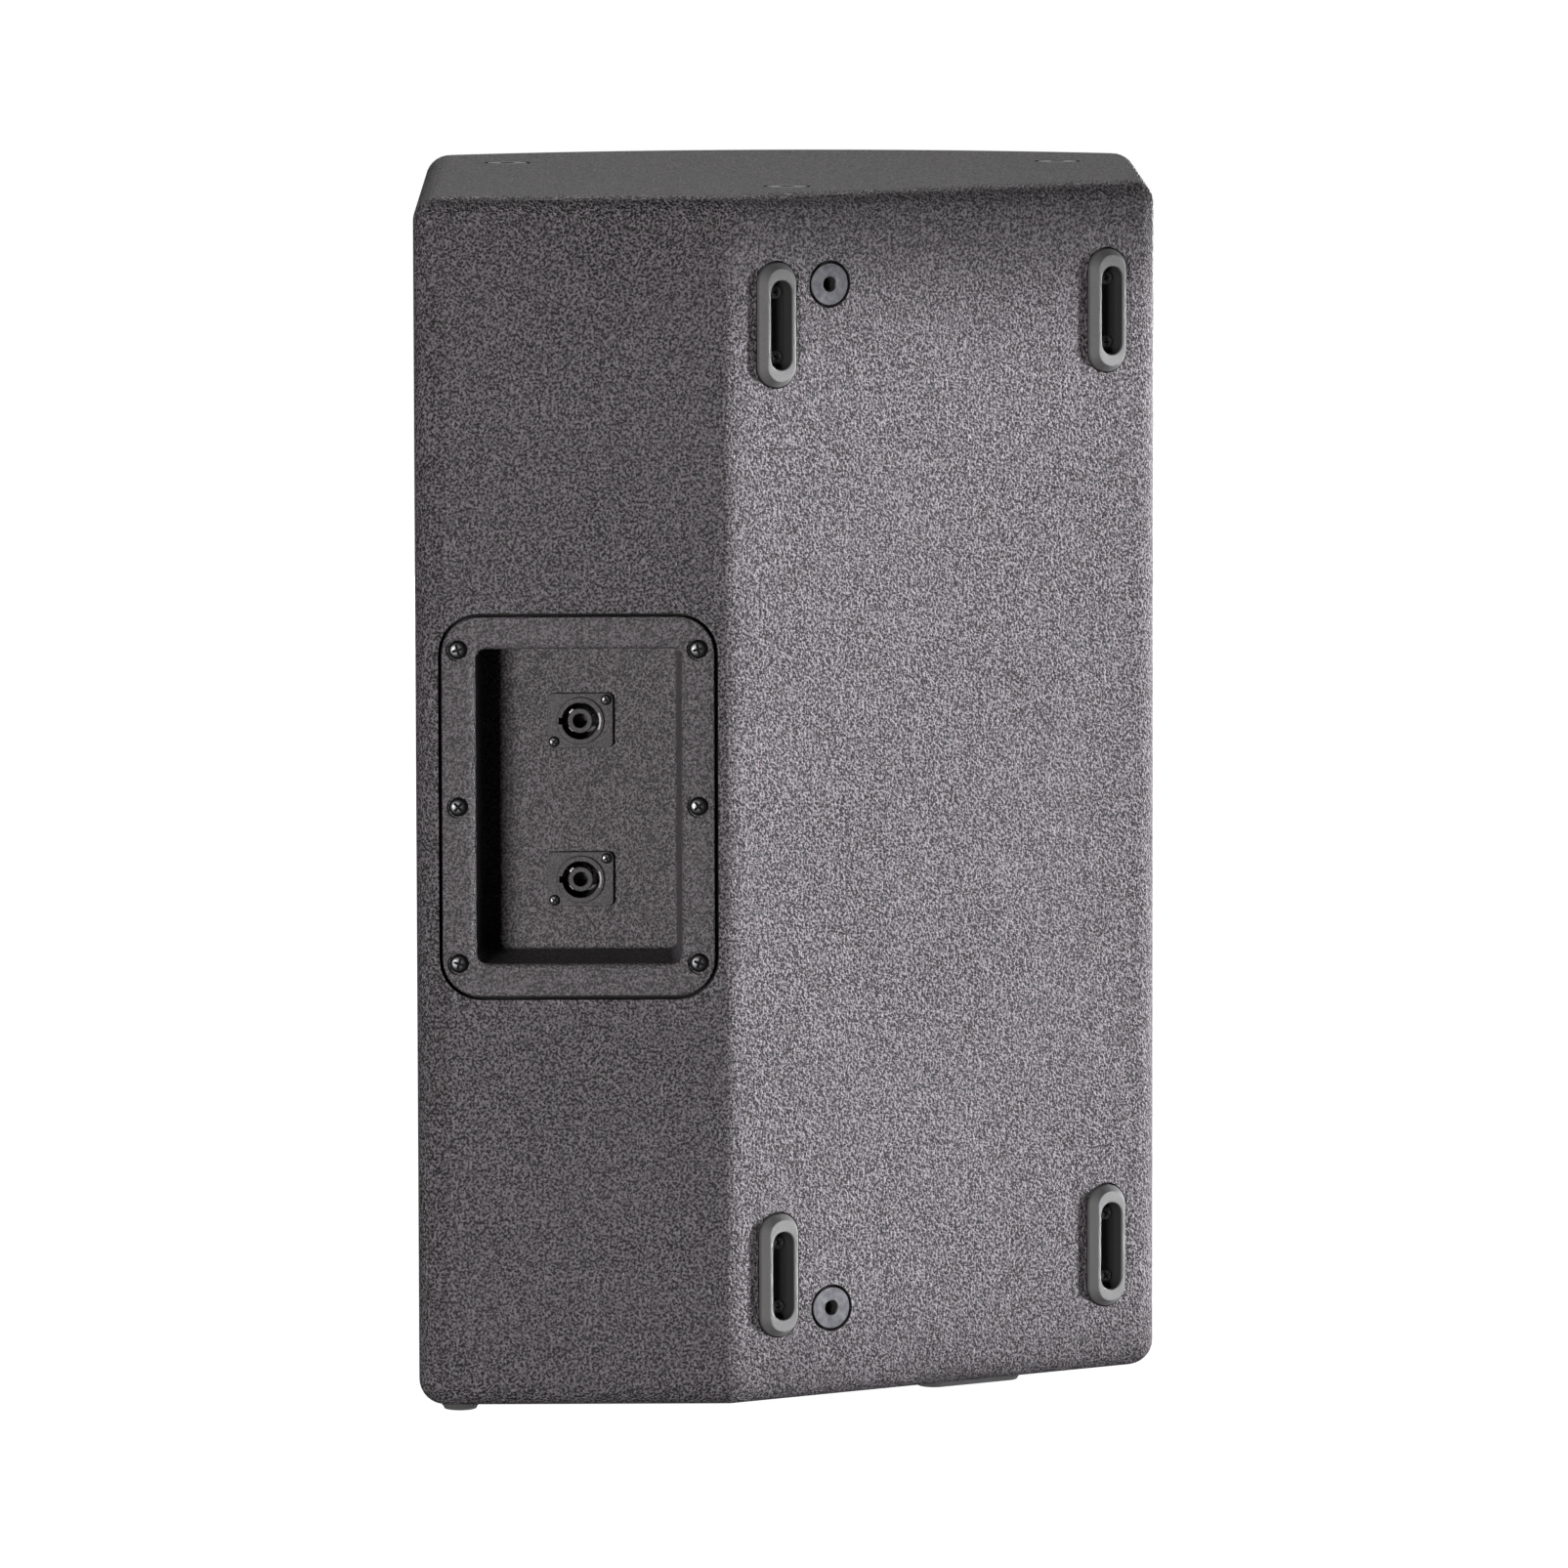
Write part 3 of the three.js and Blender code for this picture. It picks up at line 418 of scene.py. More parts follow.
# Skins a stack of rings that have the same number of points. A loop joins the last to the first.
def loft(rings, loop=False):
    count = len(rings[0])
    points = [point for ring in rings for point in ring]
    faces = []
    for r in range(len(rings) if loop else len(rings) - 1):
        a, b = r * count, (r + 1) % len(rings) * count
        for i in range(count):
            j = (i + 1) % count
            faces.append((a + i, a + j, b + j, b + i))
    if not loop:
        faces.append(tuple(range(count)))
        faces.append(tuple(range(len(points) - count, len(points))))
    return points, faces


# Turns a profile of (radius, z) about z. It starts and ends on the axis, unless it is a loop.
def turned(profile, count=64, loop=False):
    return loft([circle(max(radius, 0.0005), z, count) for radius, z in profile], loop)


# Gives a line of (radius, z) a thickness below it.
def sheet(line, thick):
    return line + [(radius, z - thick) for radius, z in reversed(line)]


def slab(width, height, corner, z0, z1, edge=0.5, steps=5):
    rings = [rounded(width, height, corner, z0, steps)]
    for sine, cosine in quarter(3):
        inset = edge * (1 - cosine)
        wide, tall = width - 2 * inset, height - 2 * inset
        rings.append(rounded(wide, tall, corner - inset, z1 - edge * (1 - sine), steps))
    return loft(rings)


def block(x0, x1, y0, y1, z0, z1):
    return loft([[(x0, y0, z), (x1, y0, z), (x1, y1, z), (x0, y1, z)] for z in (z0, z1)])


def addFaces(mesh, points, faces):
    made = [mesh.verts.new(p) for p in points]
    for corners in faces:
        mesh.faces.new([made[i] for i in corners])


def makeObject(name, shape, place=Matrix(), sharp=35):
    points, faces = shape
    mesh = bmesh.new()
    addFaces(mesh, points, faces)
    bmesh.ops.remove_doubles(mesh, verts=mesh.verts, dist=0.002)
    bmesh.ops.dissolve_degenerate(mesh, edges=mesh.edges, dist=0.0005)
    bmesh.ops.recalc_face_normals(mesh, faces=mesh.faces)
    data = bpy.data.meshes.new(name)
    mesh.to_mesh(data)
    mesh.free()
    data.transform(Matrix.Scale(mm, 4) @ place)
    piece = newObject(name, data)
    smooth(piece, sharp)
    return piece


def smooth(piece, sharp=35):
    piece.data.shade_smooth()
    piece.data.set_sharp_from_angle(angle=math.radians(sharp))


# Applies every modifier on the piece, and leaves it a plain mesh.
def settle(piece):
    graph = bpy.context.evaluated_depsgraph_get()
    graph.update()
    data = bpy.data.meshes.new_from_object(piece.evaluated_get(graph), depsgraph=graph)
    piece.modifiers.clear()
    old, piece.data = piece.data, data
    data.name = piece.name
    bpy.data.meshes.remove(old)
    return piece


def discard(piece):
    data = piece.data
    bpy.data.objects.remove(piece)
    bpy.data.meshes.remove(data)


def carve(piece, *tools, operation="DIFFERENCE"):
    for tool in tools:
        cut = piece.modifiers.new("carve", "BOOLEAN")
        cut.operation = operation
        cut.solver = "EXACT"
        cut.object = tool
    settle(piece)
    for tool in tools:
        discard(tool)


def flatten(piece, sharp=35):
    smooth(piece, sharp)
    weighted = piece.modifiers.new("weighted", "WEIGHTED_NORMAL")
    weighted.keep_sharp = True
    return settle(piece)


def dress(piece, material, nodes=(), body="cabinet"):
    piece.data.materials.clear()
    piece.data.materials.append(material)
    if body:
        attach(piece, body)
    if nodes:
        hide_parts(*nodes)


def startTree(name, kinds):
    group = bpy.data.node_groups.new(name, "GeometryNodeTree")
    for label, kind in kinds.items():
        group.interface.new_socket(label, in_out="INPUT", socket_type="NodeSocket" + kind)
    group.interface.new_socket("Geometry", in_out="OUTPUT", socket_type="NodeSocketGeometry")
    tree = Tree(group)
    start = tree.nodes.new("NodeGroupInput")
    return group, tree, {label: Wire(tree, start.outputs[label]) for label in kinds}


def endTree(tree, geometry, material):
    real = tree.node("GeometryNodeRealizeInstances", {"Geometry": geometry})
    done = tree.node("GeometryNodeSetMaterial", {"Geometry": real, "Material": material})
    tree.node("NodeGroupOutput", {"Geometry": done})


# Runs a tree on a piece with the given inputs, and leaves the piece a plain mesh.
def runTree(piece, group, values):
    steps = piece.modifiers.new(group.name, "NODES")
    steps.node_group = group
    for item in group.interface.items_tree:
        if item.in_out == "INPUT" and item.name in values:
            steps[item.identifier] = values[item.name]
    settle(piece)


def scatterTree(name, material):
    kinds = {"Geometry": "Geometry", "Prototype": "Object", "Size": "Float"}
    group, tree, given = startTree(name, kinds)
    shape = tree.node("GeometryNodeObjectInfo", {"Object": given["Prototype"]}, out=4)
    kind = "GeometryNodeInputNamedAttribute"
    turn = tree.node(kind, {"Name": "turn"}, data_type="FLOAT_VECTOR")
    inputs = {"Points": given["Geometry"], "Instance": shape, "Rotation": turn, "Scale": given["Size"]}
    endTree(tree, tree.node("GeometryNodeInstanceOnPoints", inputs), material)
    return group


def scatter(name, prototype, places, material, nodes=(), size=1.0):
    data = bpy.data.meshes.new(name)
    data.from_pydata([place.translation * mm for place in places], [], [])
    turn = data.attributes.new("turn", "FLOAT_VECTOR", "POINT")
    for i, place in enumerate(places):
        turn.data[i].vector = place.to_euler()
    piece = newObject(name, data)
    runTree(piece, scatterTree(name, material), {"Prototype": prototype, "Size": size})
    discard(prototype)
    dress(piece, material, nodes)
    return piece


# The cabinet is one painted skin over glued boards, with everything cut into it.
# The cabinet's plan, drawn in: a bowed front, two straight sides, the rear and the slant.
def outline(inset, corner, z, steps=8, front=40):
    c = cabinet
    frontR = (c["halfWidth"] ** 2 + c["sag"] ** 2) / (2 * c["sag"])
    arcY = frontR - c["rearY"]
    k = inset + corner
    side, rear = c["halfWidth"] - k, c["rearY"] - k
    slant = outward.x * c["ridgeX"] + outward.y * c["rearY"] - k
    ridge = (slant - outward.y * rear) / outward.x
    shoulder = (slant + outward.x * side) / outward.y
    nose = arcY - math.sqrt((frontR - k) ** 2 - side ** 2)
    lean = math.asin(side / (frontR - k))
    square = math.pi / 2
    ring = []

    def arc(x, y, radius, a, b, count):
        for i in range(count + 1):
            t = a + (b - a) * i / count
            ring.append((x + radius * math.cos(t), y + radius * math.sin(t), z))

    arc(side, nose, corner, lean - square, 0, steps)
    arc(side, rear, corner, 0, square, steps)
    arc(ridge, rear, corner, square, square + c["slant"], steps)
    arc(-side, shoulder, corner, square + c["slant"], 2 * square, steps)
    arc(-side, nose, corner, 2 * square, 3 * square - lean, steps)
    arc(0, arcY, frontR - inset, 3 * square - lean, 3 * square + lean, front)
    return ring


feet = {
    "length": 58.5, "width": 20.4, "rimLength": 53.5, "rimWidth": 15.6,
    "proud": 5.0, "edge": 0.7, "slot": (11.4, 42.0, -1.4), "slotEdge": 0.6,
    "screwPitch": 30.4, "gap": 0.8, "sunk": 2.3,
    "places": {
        "foot_bottom_rear_long_side": (bottomFace, -156, 140, 0),
        "foot_bottom_front_long_side": (bottomFace, -156, -104, 0),
        "foot_bottom_front_short_side": (bottomFace, 156, -104, 0),
        "foot_bottom_rear_slanted": (bottomFace, 85.7, 87.4, 2 * cabinet["slant"]),
        "foot_monitor_lower_rear": (monitorFace, 23.5, 61, 0),
        "foot_monitor_upper_rear": (monitorFace, 23.5, 509, 0),
        "foot_monitor_lower_front": (monitorFace, 205.5, 61, 0),
        "foot_monitor_upper_front": (monitorFace, 205.5, 509, 0),
    },
}
bolts = {
    "head": 9.9, "hexFlats": 6.2, "hexDepth": 5, "mouth": 11.2, "mouthDepth": 2,
    "shank": 5,
    "places": {
        "rig_bolt_top_long_side": (topFace, 134, -76, 0.4),
        "rig_bolt_top_short_side": (topFace, -134, -76, 1.3),
        "rig_bolt_top_rear": (topFace, 0, 117.5, 0.9),
        "rig_bolt_monitor_lower": (monitorFace, 52.5, 43, 0.1),
        "rig_bolt_monitor_upper": (monitorFace, 52.5, 527, 0.3),
    },
}
dish = {
    "x": -98.8, "y": 284.3, "width": 127.5, "height": 178.5, "corner": 17.5,
    "opening": (96, 148, 4.5), "lip": 3.0, "depth": 43, "draft": 2.0,
    "screws": [(x, y) for x in (-56.2, 56.2) for y in (73.8, 0, -73.8)],
    "sockets": [(0.6, 36.3), (0.6, -38.8)],
    "socketHole": 11.8, "gap": 1.7, "sunk": 4.6, "edge": 0.9, "flange": 3.3,
}
poleCup = {
    "y": 6, "bore": 18, "depth": 80, "wall": 2.5, "flange": 40, "flangeThick": 2,
    "screwRing": 35.4,
}
footPlaces = [at(*place) for place in feet["places"].values()]
boltPlaces = [at(*place) for place in bolts["places"].values()]
dishPlace = at(rearFace, dish["x"], dish["y"])


# Solids to cut away: each is bigger than its opening on the open side.
def cuttingTools(low, high, inside):
    inner = [outline(cabinet["board"], 0.3, z, 1, 8) for z in (low, high)]
    tools = [makeObject("room", loft(inner))]
    tools.append(makeObject("doorway", block(-inside, inside, -240, -60, low, high)))
    wide, tall = dish["opening"][0] + 8, dish["opening"][1] + 8
    tools.append(makeObject("tray", loft([rounded(wide, tall, 8, z) for z in (-25, 6)]), dishPlace))
    gap = dish["gap"]
    wide, tall, corner = dish["width"] + 2 * gap, dish["height"] + 2 * gap, dish["corner"] + gap
    rebate = loft([rounded(wide, tall, corner, z) for z in (-dish["sunk"], 6)])
    tools.append(makeObject("rebate", rebate, dishPlace))
    wide, long = feet["width"] + 2 * feet["gap"], feet["length"] + 2 * feet["gap"]
    pocket = loft([oval(wide, long, z) for z in (-feet["sunk"], 4)])
    tools += [makeObject("pocket", pocket, place) for place in footPlaces]
    mouth, deep, shank = bolts["mouth"], bolts["mouthDepth"], bolts["shank"] + 0.3
    sink = [(0, 3), (mouth, 3), (mouth, -deep), (shank, shank - mouth - deep), (shank, -20), (0, -20)]
    tools += [makeObject("sink", turned(sink, 48), place) for place in boltPlaces]
    bore, flange = poleCup["bore"] + poleCup["wall"] + 0.3, poleCup["flange"] + 0.8
    thick = poleCup["flangeThick"] + 0.3
    seat = [(0, 3), (flange, 3), (flange, -thick), (bore, -thick), (bore, -20), (0, -20)]
    tools.append(makeObject("cupSeat", turned(seat), at(bottomFace, 0, poleCup["y"])))
    return tools


def makeCabinet():
    edge, corner, board = cabinet["edge"], cabinet["corner"], cabinet["board"]
    rings = []
    for sine, cosine in quarter(8):
        inset = edge * (1 - sine)
        rings.append(outline(inset, corner - inset, baseZ + edge * (1 - cosine)))
    rings += [[(x, y, baseZ + topZ - z) for x, y, z in ring] for ring in reversed(rings)]
    skin = makeObject("cabinetSkin", loft(rings))
    low, high, inside = baseZ + board, topZ - board, cabinet["halfWidth"] - board
    carve(skin, *cuttingTools(low, high, inside))
    flatten(skin, 40)
    sides = ("top", "bottom", "rear", "monitor_side", "long_side", "short_side")
    dress(skin, cabinetPaint, [side + "_panel" for side in sides])
    skin.data.materials.append(plywood)
    skin.data.materials.append(shadowBlack)
    paintInside(skin, low, high, inside)
    paintGapShade(skin)


# The narrow gaps round the dish, the feet and the bolts take the shadow black: painted shade in the
# gaps.
def paintGapShade(skin):
    gaps = []
    gapsInShade = (dish, dish["height"], [dishPlace]), (feet, feet["length"], footPlaces)
    for piece, tall, places in gapsInShade:
        margin = piece["gap"] + 0.5
        reach = piece["width"] / 2 + margin, tall / 2 + margin
        gaps += [(place.inverted(), reach, piece["sunk"] + 0.2) for place in places]
    mouth = bolts["mouth"] + 0.3
    gaps += [(place.inverted(), (mouth, mouth), 9) for place in boltPlaces]
    for polygon in skin.data.polygons:
        corners = [skin.data.vertices[i].co / mm for i in polygon.vertices]
        for back, (wide, tall), deep in gaps:
            if -deep < (back @ (polygon.center / mm)).z < -0.3:
                spots = [back @ corner for corner in corners]
                if all(abs(x) < wide and abs(y) < tall for x, y, z in spots):
                    polygon.material_index = 2


# The boards are bare plywood on the inside, behind the baffle.
def paintInside(skin, low, high, inside):
    slack, baffleBack = 0.5, cabinet["baffleY"] + 18
    board = cabinet["board"] - slack
    ridge = Vector((cabinet["ridgeX"], cabinet["rearY"], 0))
    for polygon in skin.data.polygons:
        x, y, z = polygon.center / mm
        if not low - slack < z < high + slack or abs(x) > inside + slack:
            continue
        depth = (ridge - Vector((x, y, 0))).dot(outward)
        if depth > board and baffleBack < y < cabinet["rearY"] - board:
            polygon.material_index = 1


makeCabinet()
print("cabinet skin is cut")

def makeDish():
    wide, tall, corner = dish["opening"]
    lip, depth, draft = dish["lip"], dish["depth"], dish["draft"]
    outerWide, outerTall, outerCorner = dish["width"], dish["height"], dish["corner"]

    def ring(dx, z, radius):
        return rounded(wide + 2 * dx, tall + 2 * dx, radius, z, 8)

    def rim(dx, z):
        return rounded(outerWide + 2 * dx, outerTall + 2 * dx, outerCorner + dx, z, 8)

    fillet, edge, back = 2, dish["edge"], -dish["flange"]
    rings = [ring(-draft - fillet, -depth, fillet)]
    for k, (sine, cosine) in enumerate(quarter(4)[1:], 1):
        inset = draft + fillet * (1 - sine)
        rings.append(ring(-inset, -depth + fillet * (1 - cosine), fillet + k * 0.4))
    for sine, cosine in quarter(6):
        grow = lip * (1 - cosine)
        rings.append(ring(grow, -lip - 0.1 + lip * sine, corner + grow))
    for sine, cosine in quarter(4):
        rings.append(rim(-edge * (1 - sine), -1.2 + edge * cosine))
    rings += [rim(0, back), ring(2.5, back, corner + 2)]
    rings += [ring(2.5 - draft, -depth - 1, corner + 2), ring(1 - draft, -depth - 2.5, corner)]
    tray = makeObject("inputDish", loft(rings), dishPlace)
    seat = turned([(0, 3), (5.5, 3), (5.5, -2.0), (2.3, -2.4), (2.3, -8), (0, -8)], 32)
    tools = [makeObject("seat", seat, at(dishPlace, x, y)) for x, y in dish["screws"]]
    hole, low, high = dish["socketHole"], -depth - 6, -depth + 3
    through = turned([(0, low), (hole, low), (hole, high), (0, high)], 48)
    tools += [makeObject("through", through, at(dishPlace, x, y)) for x, y in dish["sockets"]]
    carve(tray, *tools)
    flatten(tray, 40)
    dress(tray, dishPlastic, ["input_dish"])


makeDish()
print("input dish is made")

screwHeads = {"radius": 4.5, "rise": 2.3, "rim": 0.5, "recess": 3.0, "arm": 0.75, "deep": 1.5}


# Gives a second finish to the faces that a test picks, in the frame of the nearest copy: painted shade
# in hollows.
def shade(piece, places, material, picked):
    piece.data.materials.append(material)
    backs = [place.inverted() for place in places]
    for polygon in piece.data.polygons:
        middle = polygon.center / mm
        x, y, z = min((back @ middle for back in backs), key=lambda p: p.length)
        if picked(x, y, z):
            polygon.material_index = 1


def layScrews(name, places, size, nodes=(), material=None):
    material = material or screwSteel
    head = makeScrewPrototype(name + "Head")
    piece = scatter(name, head, places, material, nodes, size)
    # Painted shade: the faces of the cross recess take the shadow black.
    low, reach = screwHeads["rise"] * size * 0.84, screwHeads["recess"] * size * 1.05
    shade(piece, places, shadowBlack, lambda x, y, z: 0 < z < low and math.hypot(x, y) < reach)


def makeScrewPrototype(name):
    s = screwHeads
    radius, rim, arm, recess = s["radius"], s["rim"], s["arm"], s["recess"]
    profile = [(0, -3), (1.6, -3), (1.6, 0), (radius - 0.1, 0), (radius, rim)]
    for sine, cosine in quarter(8)[1:-1]:
        profile.append((radius * cosine ** 0.6, rim + (s["rise"] - rim) * sine))
    profile.append((0, s["rise"]))
    screw = makeObject(name, turned(profile, 28))
    tools = []
    floor, above = s["rise"] - s["deep"], s["rise"] + 1
    for turn in (0, math.pi / 2):
        wings = []
        for z, reach, half in ((floor, recess * 0.55, arm * 0.6), (above, recess * 1.15, arm)):
            wings.append([(-reach, -half, z), (reach, -half, z), (reach, half, z), (-reach, half, z)])
        tools.append(makeObject("wing", loft(wings), Matrix.Rotation(turn + 0.3, 4, "Z")))
    carve(screw, *tools)
    smooth(screw, 40)
    return screw


def makeDishScrews():
    flush = -2.35
    places = [at(dishPlace, x, y, 0.5 * i, flush) for i, (x, y) in enumerate(dish["screws"])]
    layScrews("dishScrews", places, 1.0, [f"dish_screw_{i}" for i in range(1, 7)])


makeDishScrews()
print("dish screws are laid out")

socket = {
    "width": 31, "height": 26, "corner": 3, "thick": 3.0, "collar": 1.4,
    "collarRadius": 11.3, "barrelDepth": 21, "well": 8.8, "wellDepth": 18,
    "post": (3.4, 5.8), "boreDepth": 14, "keyway": (10.1, 1.6, 6),
    "screws": [(12.3, 9.9), (-12.3, -9.9)],
    "disc": (12.2, -9.9, 2.2), "latch": (9.1, 9.9, 0.7),
}


def makeSockets():
    s = socket
    front, rim = s["thick"], s["thick"] + s["collar"]
    outer, well, (inner, post) = s["collarRadius"], s["well"], s["post"]
    end, wellFloor, boreFloor = -s["barrelDepth"], -s["wellDepth"], -s["boreDepth"]
    flange = makeObject("socketBody", slab(s["width"], s["height"], s["corner"], 0, front))
    barrel = [(0, end), (outer, end), (outer, rim - 0.5), (outer - 0.5, rim), (0, rim)]
    carve(flange, makeObject("barrel", turned(barrel, 72)), operation="UNION")
    reach, half, deep = s["keyway"]
    keys = makeObject("keys", block(-reach, reach, -half, half, front - deep, rim + 1))
    low, radius = front - deep - 1, post + 0.02
    core = [(0, low), (radius, low), (radius, rim + 2), (0, rim + 2)]
    carve(keys, makeObject("core", turned(core, 72)))
    pit = [(0, boreFloor), (inner, boreFloor), (inner, rim - 1.3), (inner + 0.3, rim - 1)]
    pit += [(post - 0.4, rim - 1), (post, rim - 1.4), (post, wellFloor), (well, wellFloor)]
    pit += [(well, rim + 1), (0, rim + 1)]
    x, y, radius = s["disc"]
    disc = turned([(0, front - 0.25), (radius, front - 0.25), (radius, rim), (0, rim)], 28)
    blind = makeObject("blind", disc, Matrix.Translation((x, y, 0)))
    carve(flange, makeObject("pit", turned(pit, 72)), keys, blind)
    flatten(flange, 40)
    places = [at(dishPlace, x, y, 0, -dish["depth"] + 0.05) for x, y in dish["sockets"]]
    names = "speaker_socket_upper", "speaker_socket_lower"
    bodies = scatter("speakerSockets", flange, places, socketPlastic, names)

    # Painted shade: the faces deep in the well and the keyways take black plastic.
    def inShadedWell(x, y, z):
        inWell = math.hypot(x, y) < outer - 0.6 or abs(y) < half + 0.1
        return z < front - 0.4 and abs(x) < reach + 0.4 and inWell

    shade(bodies, places, blackPlastic, inShadedWell)
    spots = [at(place, x, y, 0.4 + x, front - 0.15) for place in places for x, y in s["screws"]]
    layScrews("socketScrews", spots, 0.58)

    contact = makeObject("contact", block(post - 0.05, post + 0.5, -1.2, 1.2, -10, rim - 4.2))
    spots = [at(place, 0, 0, math.radians(45 + 90 * k)) for place in places for k in range(4)]
    scatter("socketContacts", contact, spots, brightSteel)

    low, high, thick = s["latch"]
    edges = (low, 0), (high, 0), (high, thick), (low, thick)
    turns = [math.radians(4 * i - 24) for i in range(13)]
    arc = [[(*polar(radius, t), z) for radius, z in edges] for t in turns]
    spots = [at(place, 0, 0, 0, rim - 0.25) for place in places]
    latch = makeObject("latch", loft(arc))
    scatter("socketLatches", latch, spots, brightSteel)


makeSockets()
print("speaker sockets are made")

def makeFeet():
    f = feet
    wide, long, proud = f["width"], f["length"], f["proud"]
    rimWide, rimLong, edge = f["rimWidth"], f["rimLength"], f["edge"]
    (slotWide, slotLong, slotFloor), mouth = f["slot"], f["slotEdge"]
    rings = [oval(wide, long, -2.0), oval(wide, long, 0.9), oval(wide - 0.8, long - 0.8, 1.5)]
    for sine, cosine in quarter(3):
        inset = 2 * edge * (1 - cosine)
        rings.append(oval(rimWide - inset, rimLong - inset, proud - edge * (1 - sine)))
    for sine, cosine in quarter(2):
        grow = 2 * mouth * (1 - sine)
        rings.append(oval(slotWide + grow, slotLong + grow, proud - mouth * (1 - cosine)))
    rings.append(oval(slotWide - mouth, slotLong - mouth, slotFloor))
    foot = makeObject("foot", loft(rings))
    flatten(foot, 50)
    piece = scatter("rubberFeet", foot, footPlaces, footRubber, f["places"])

    # Painted shade: the slot's walls and floor take the darker rubber.
    def inSlot(x, y, z):
        level = slotFloor - 0.1 < z < proud - 0.9
        return level and abs(x) < slotWide / 2 + 0.1 and abs(y) < slotLong / 2 + 0.1

    shade(piece, footPlaces, slotRubber, inSlot)
    spots = []
    for i, place in enumerate(footPlaces):
        for side in (-1, 1):
            spots.append(at(place, 0, side * f["screwPitch"] / 2, side + i, slotFloor))
    # The foot screws take the brighter steel as painted light.
    layScrews("footScrews", spots, 0.72, material=footScrewSteel)


def makeBolts():
    head, shank, deep, top = bolts["head"], bolts["shank"], bolts["hexDepth"], -0.02
    profile = [(0, -30), (shank, -30), (shank, -4.9), (head, -0.35), (head - 0.35, top), (0, top)]
    bolt = makeObject("bolt", turned(profile))
    reach = bolts["hexFlats"] / 2 / math.cos(math.pi / 6)
    hexagon = loft([circle(reach, z, 6) for z in (-deep, 2)])
    lead = turned([(0, -0.6), (reach - 0.3, -0.6), (reach + 0.5, 0.3), (0, 0.3)], 32)
    carve(bolt, makeObject("hexagon", hexagon), makeObject("lead", lead))
    flatten(bolt, 30)
    piece = scatter("rigBolts", bolt, boltPlaces, boltSteel, bolts["places"])

    # Painted shade: the hex socket takes the shadow black.
    def inHexagon(x, y, z):
        return -deep - 0.1 < z < -0.5 and math.hypot(x, y) < reach + 0.1

    shade(piece, boltPlaces, shadowBlack, inHexagon)


makeFeet()
makeBolts()
print("feet and bolts are made")

# The grille is bent round the curve of the cabinet's front.
grille = {
    "radius": 382.58, "centreY": 195.58, "halfWidth": 158.8, "low": 21.2,
    "high": 558.8, "pitch": 8.0, "row": 6.93, "hole": 2.7, "columns": 36,
    "rows": 74, "thick": 1.4, "bend": 1.6, "lip": 11.5, "margin": 6,
    "screws": [(x, z) for x in (-149, 149) for z in (34, 545)],
}


# A flat cell with a round hole. Its sides meet those of the cells beside it and of the next rows.
def makeCell():
    half, tall, hole = grille["pitch"] / 2, grille["row"] / 2, grille["hole"]
    around = [(half, -tall), (half, tall), (0, tall), (-half, tall), (-half, -tall), (0, -tall)]
    turns = [math.atan2(y, x) for x, y in around]
    inner = []
    for k, start in enumerate(turns):
        end = turns[(k + 1) % 6]
        end += 2 * math.pi if end < start else 0
        inner += [start, start + (end - start) / 2]
    points = [(x, y, 0) for x, y in around]
    points += [(*polar(hole, t), 0) for t in inner]
    faces = []
    for k in range(6):
        after = (k + 1) % 6
        a, b, c = 6 + 2 * k, 7 + 2 * k, 6 + 2 * after
        faces += [(k, after, b), (k, b, a), (after, c, b)]
    data = bpy.data.meshes.new("cell")
    data.from_pydata([Vector(p) * mm for p in points], [], faces)
    return newObject("cell", data)


# A staggered grid of cells, joined into one sheet and bent about an upright axis.
def perforationTree(material):
    kinds = {"Cell": "Object", "Columns": "Int", "Rows": "Int"}
    lengths = ("Pitch", "Row", "Radius", "Centre", "Middle", "Join")
    kinds.update({name: "Float" for name in lengths})
    group, tree, given = startTree("perforation", {"Geometry": "Geometry", **kinds})
    columns, rows, pitch, row, radius, centre, middle, join = (given[name] for name in list(kinds)[1:])
    inputs = {"Size X": (columns - 1) * pitch, "Size Y": (rows - 1) * row}
    inputs.update({"Vertices X": columns, "Vertices Y": rows})
    grid = tree.node("GeometryNodeMeshGrid", inputs)
    order = tree.node("GeometryNodeInputIndex")
    aside = ((order % rows) % 2) * pitch * 0.5 - pitch * 0.25
    step = tree.node("CombineXYZ", {"X": aside})
    spots = tree.node("GeometryNodeSetPosition", {"Geometry": grid, "Offset": step})
    shape = tree.node("GeometryNodeObjectInfo", {"Object": given["Cell"]}, out=4)
    inputs = {"Points": spots, "Instance": shape}
    copies = tree.node("GeometryNodeInstanceOnPoints", inputs)
    cells = tree.node("GeometryNodeRealizeInstances", {"Geometry": copies})
    joined = tree.node("GeometryNodeMergeByDistance", {"Geometry": cells, "Distance": join})
    here = tree.node("GeometryNodeInputPosition")
    x, y = (tree.node("SeparateXYZ", {0: here}, out=k) for k in (0, 1))
    turn = x / radius
    inputs = {"X": turn.sine() * radius, "Y": centre - turn.cosine() * radius, "Z": y + middle}
    place = tree.node("CombineXYZ", inputs)
    bent = tree.node("GeometryNodeSetPosition", {"Geometry": joined, "Position": place})
    endTree(tree, bent, material)
    return group


def arcEnd():
    return grille["radius"] * math.asin(grille["halfWidth"] / grille["radius"]) - grille["bend"]


# A point of the sheet, from its distance along the arc. Past the end it turns back into the lip.
def bentPoint(u, z):
    g = grille
    bend, end = g["bend"], arcEnd()
    side = math.copysign(1, u)
    u = abs(u)
    turn = min(u, end) / g["radius"]
    x, y = g["radius"] * math.sin(turn), g["centreY"] - g["radius"] * math.cos(turn)
    if u > end:
        quarter = math.pi / 2 - turn
        swing = min((u - end) / bend, quarter)
        x += bend * (math.sin(turn + swing) - math.sin(turn))
        y += bend * (math.cos(turn) - math.cos(turn + swing))
        y += max(0, u - end - bend * quarter)
    return (side * x, y, z)


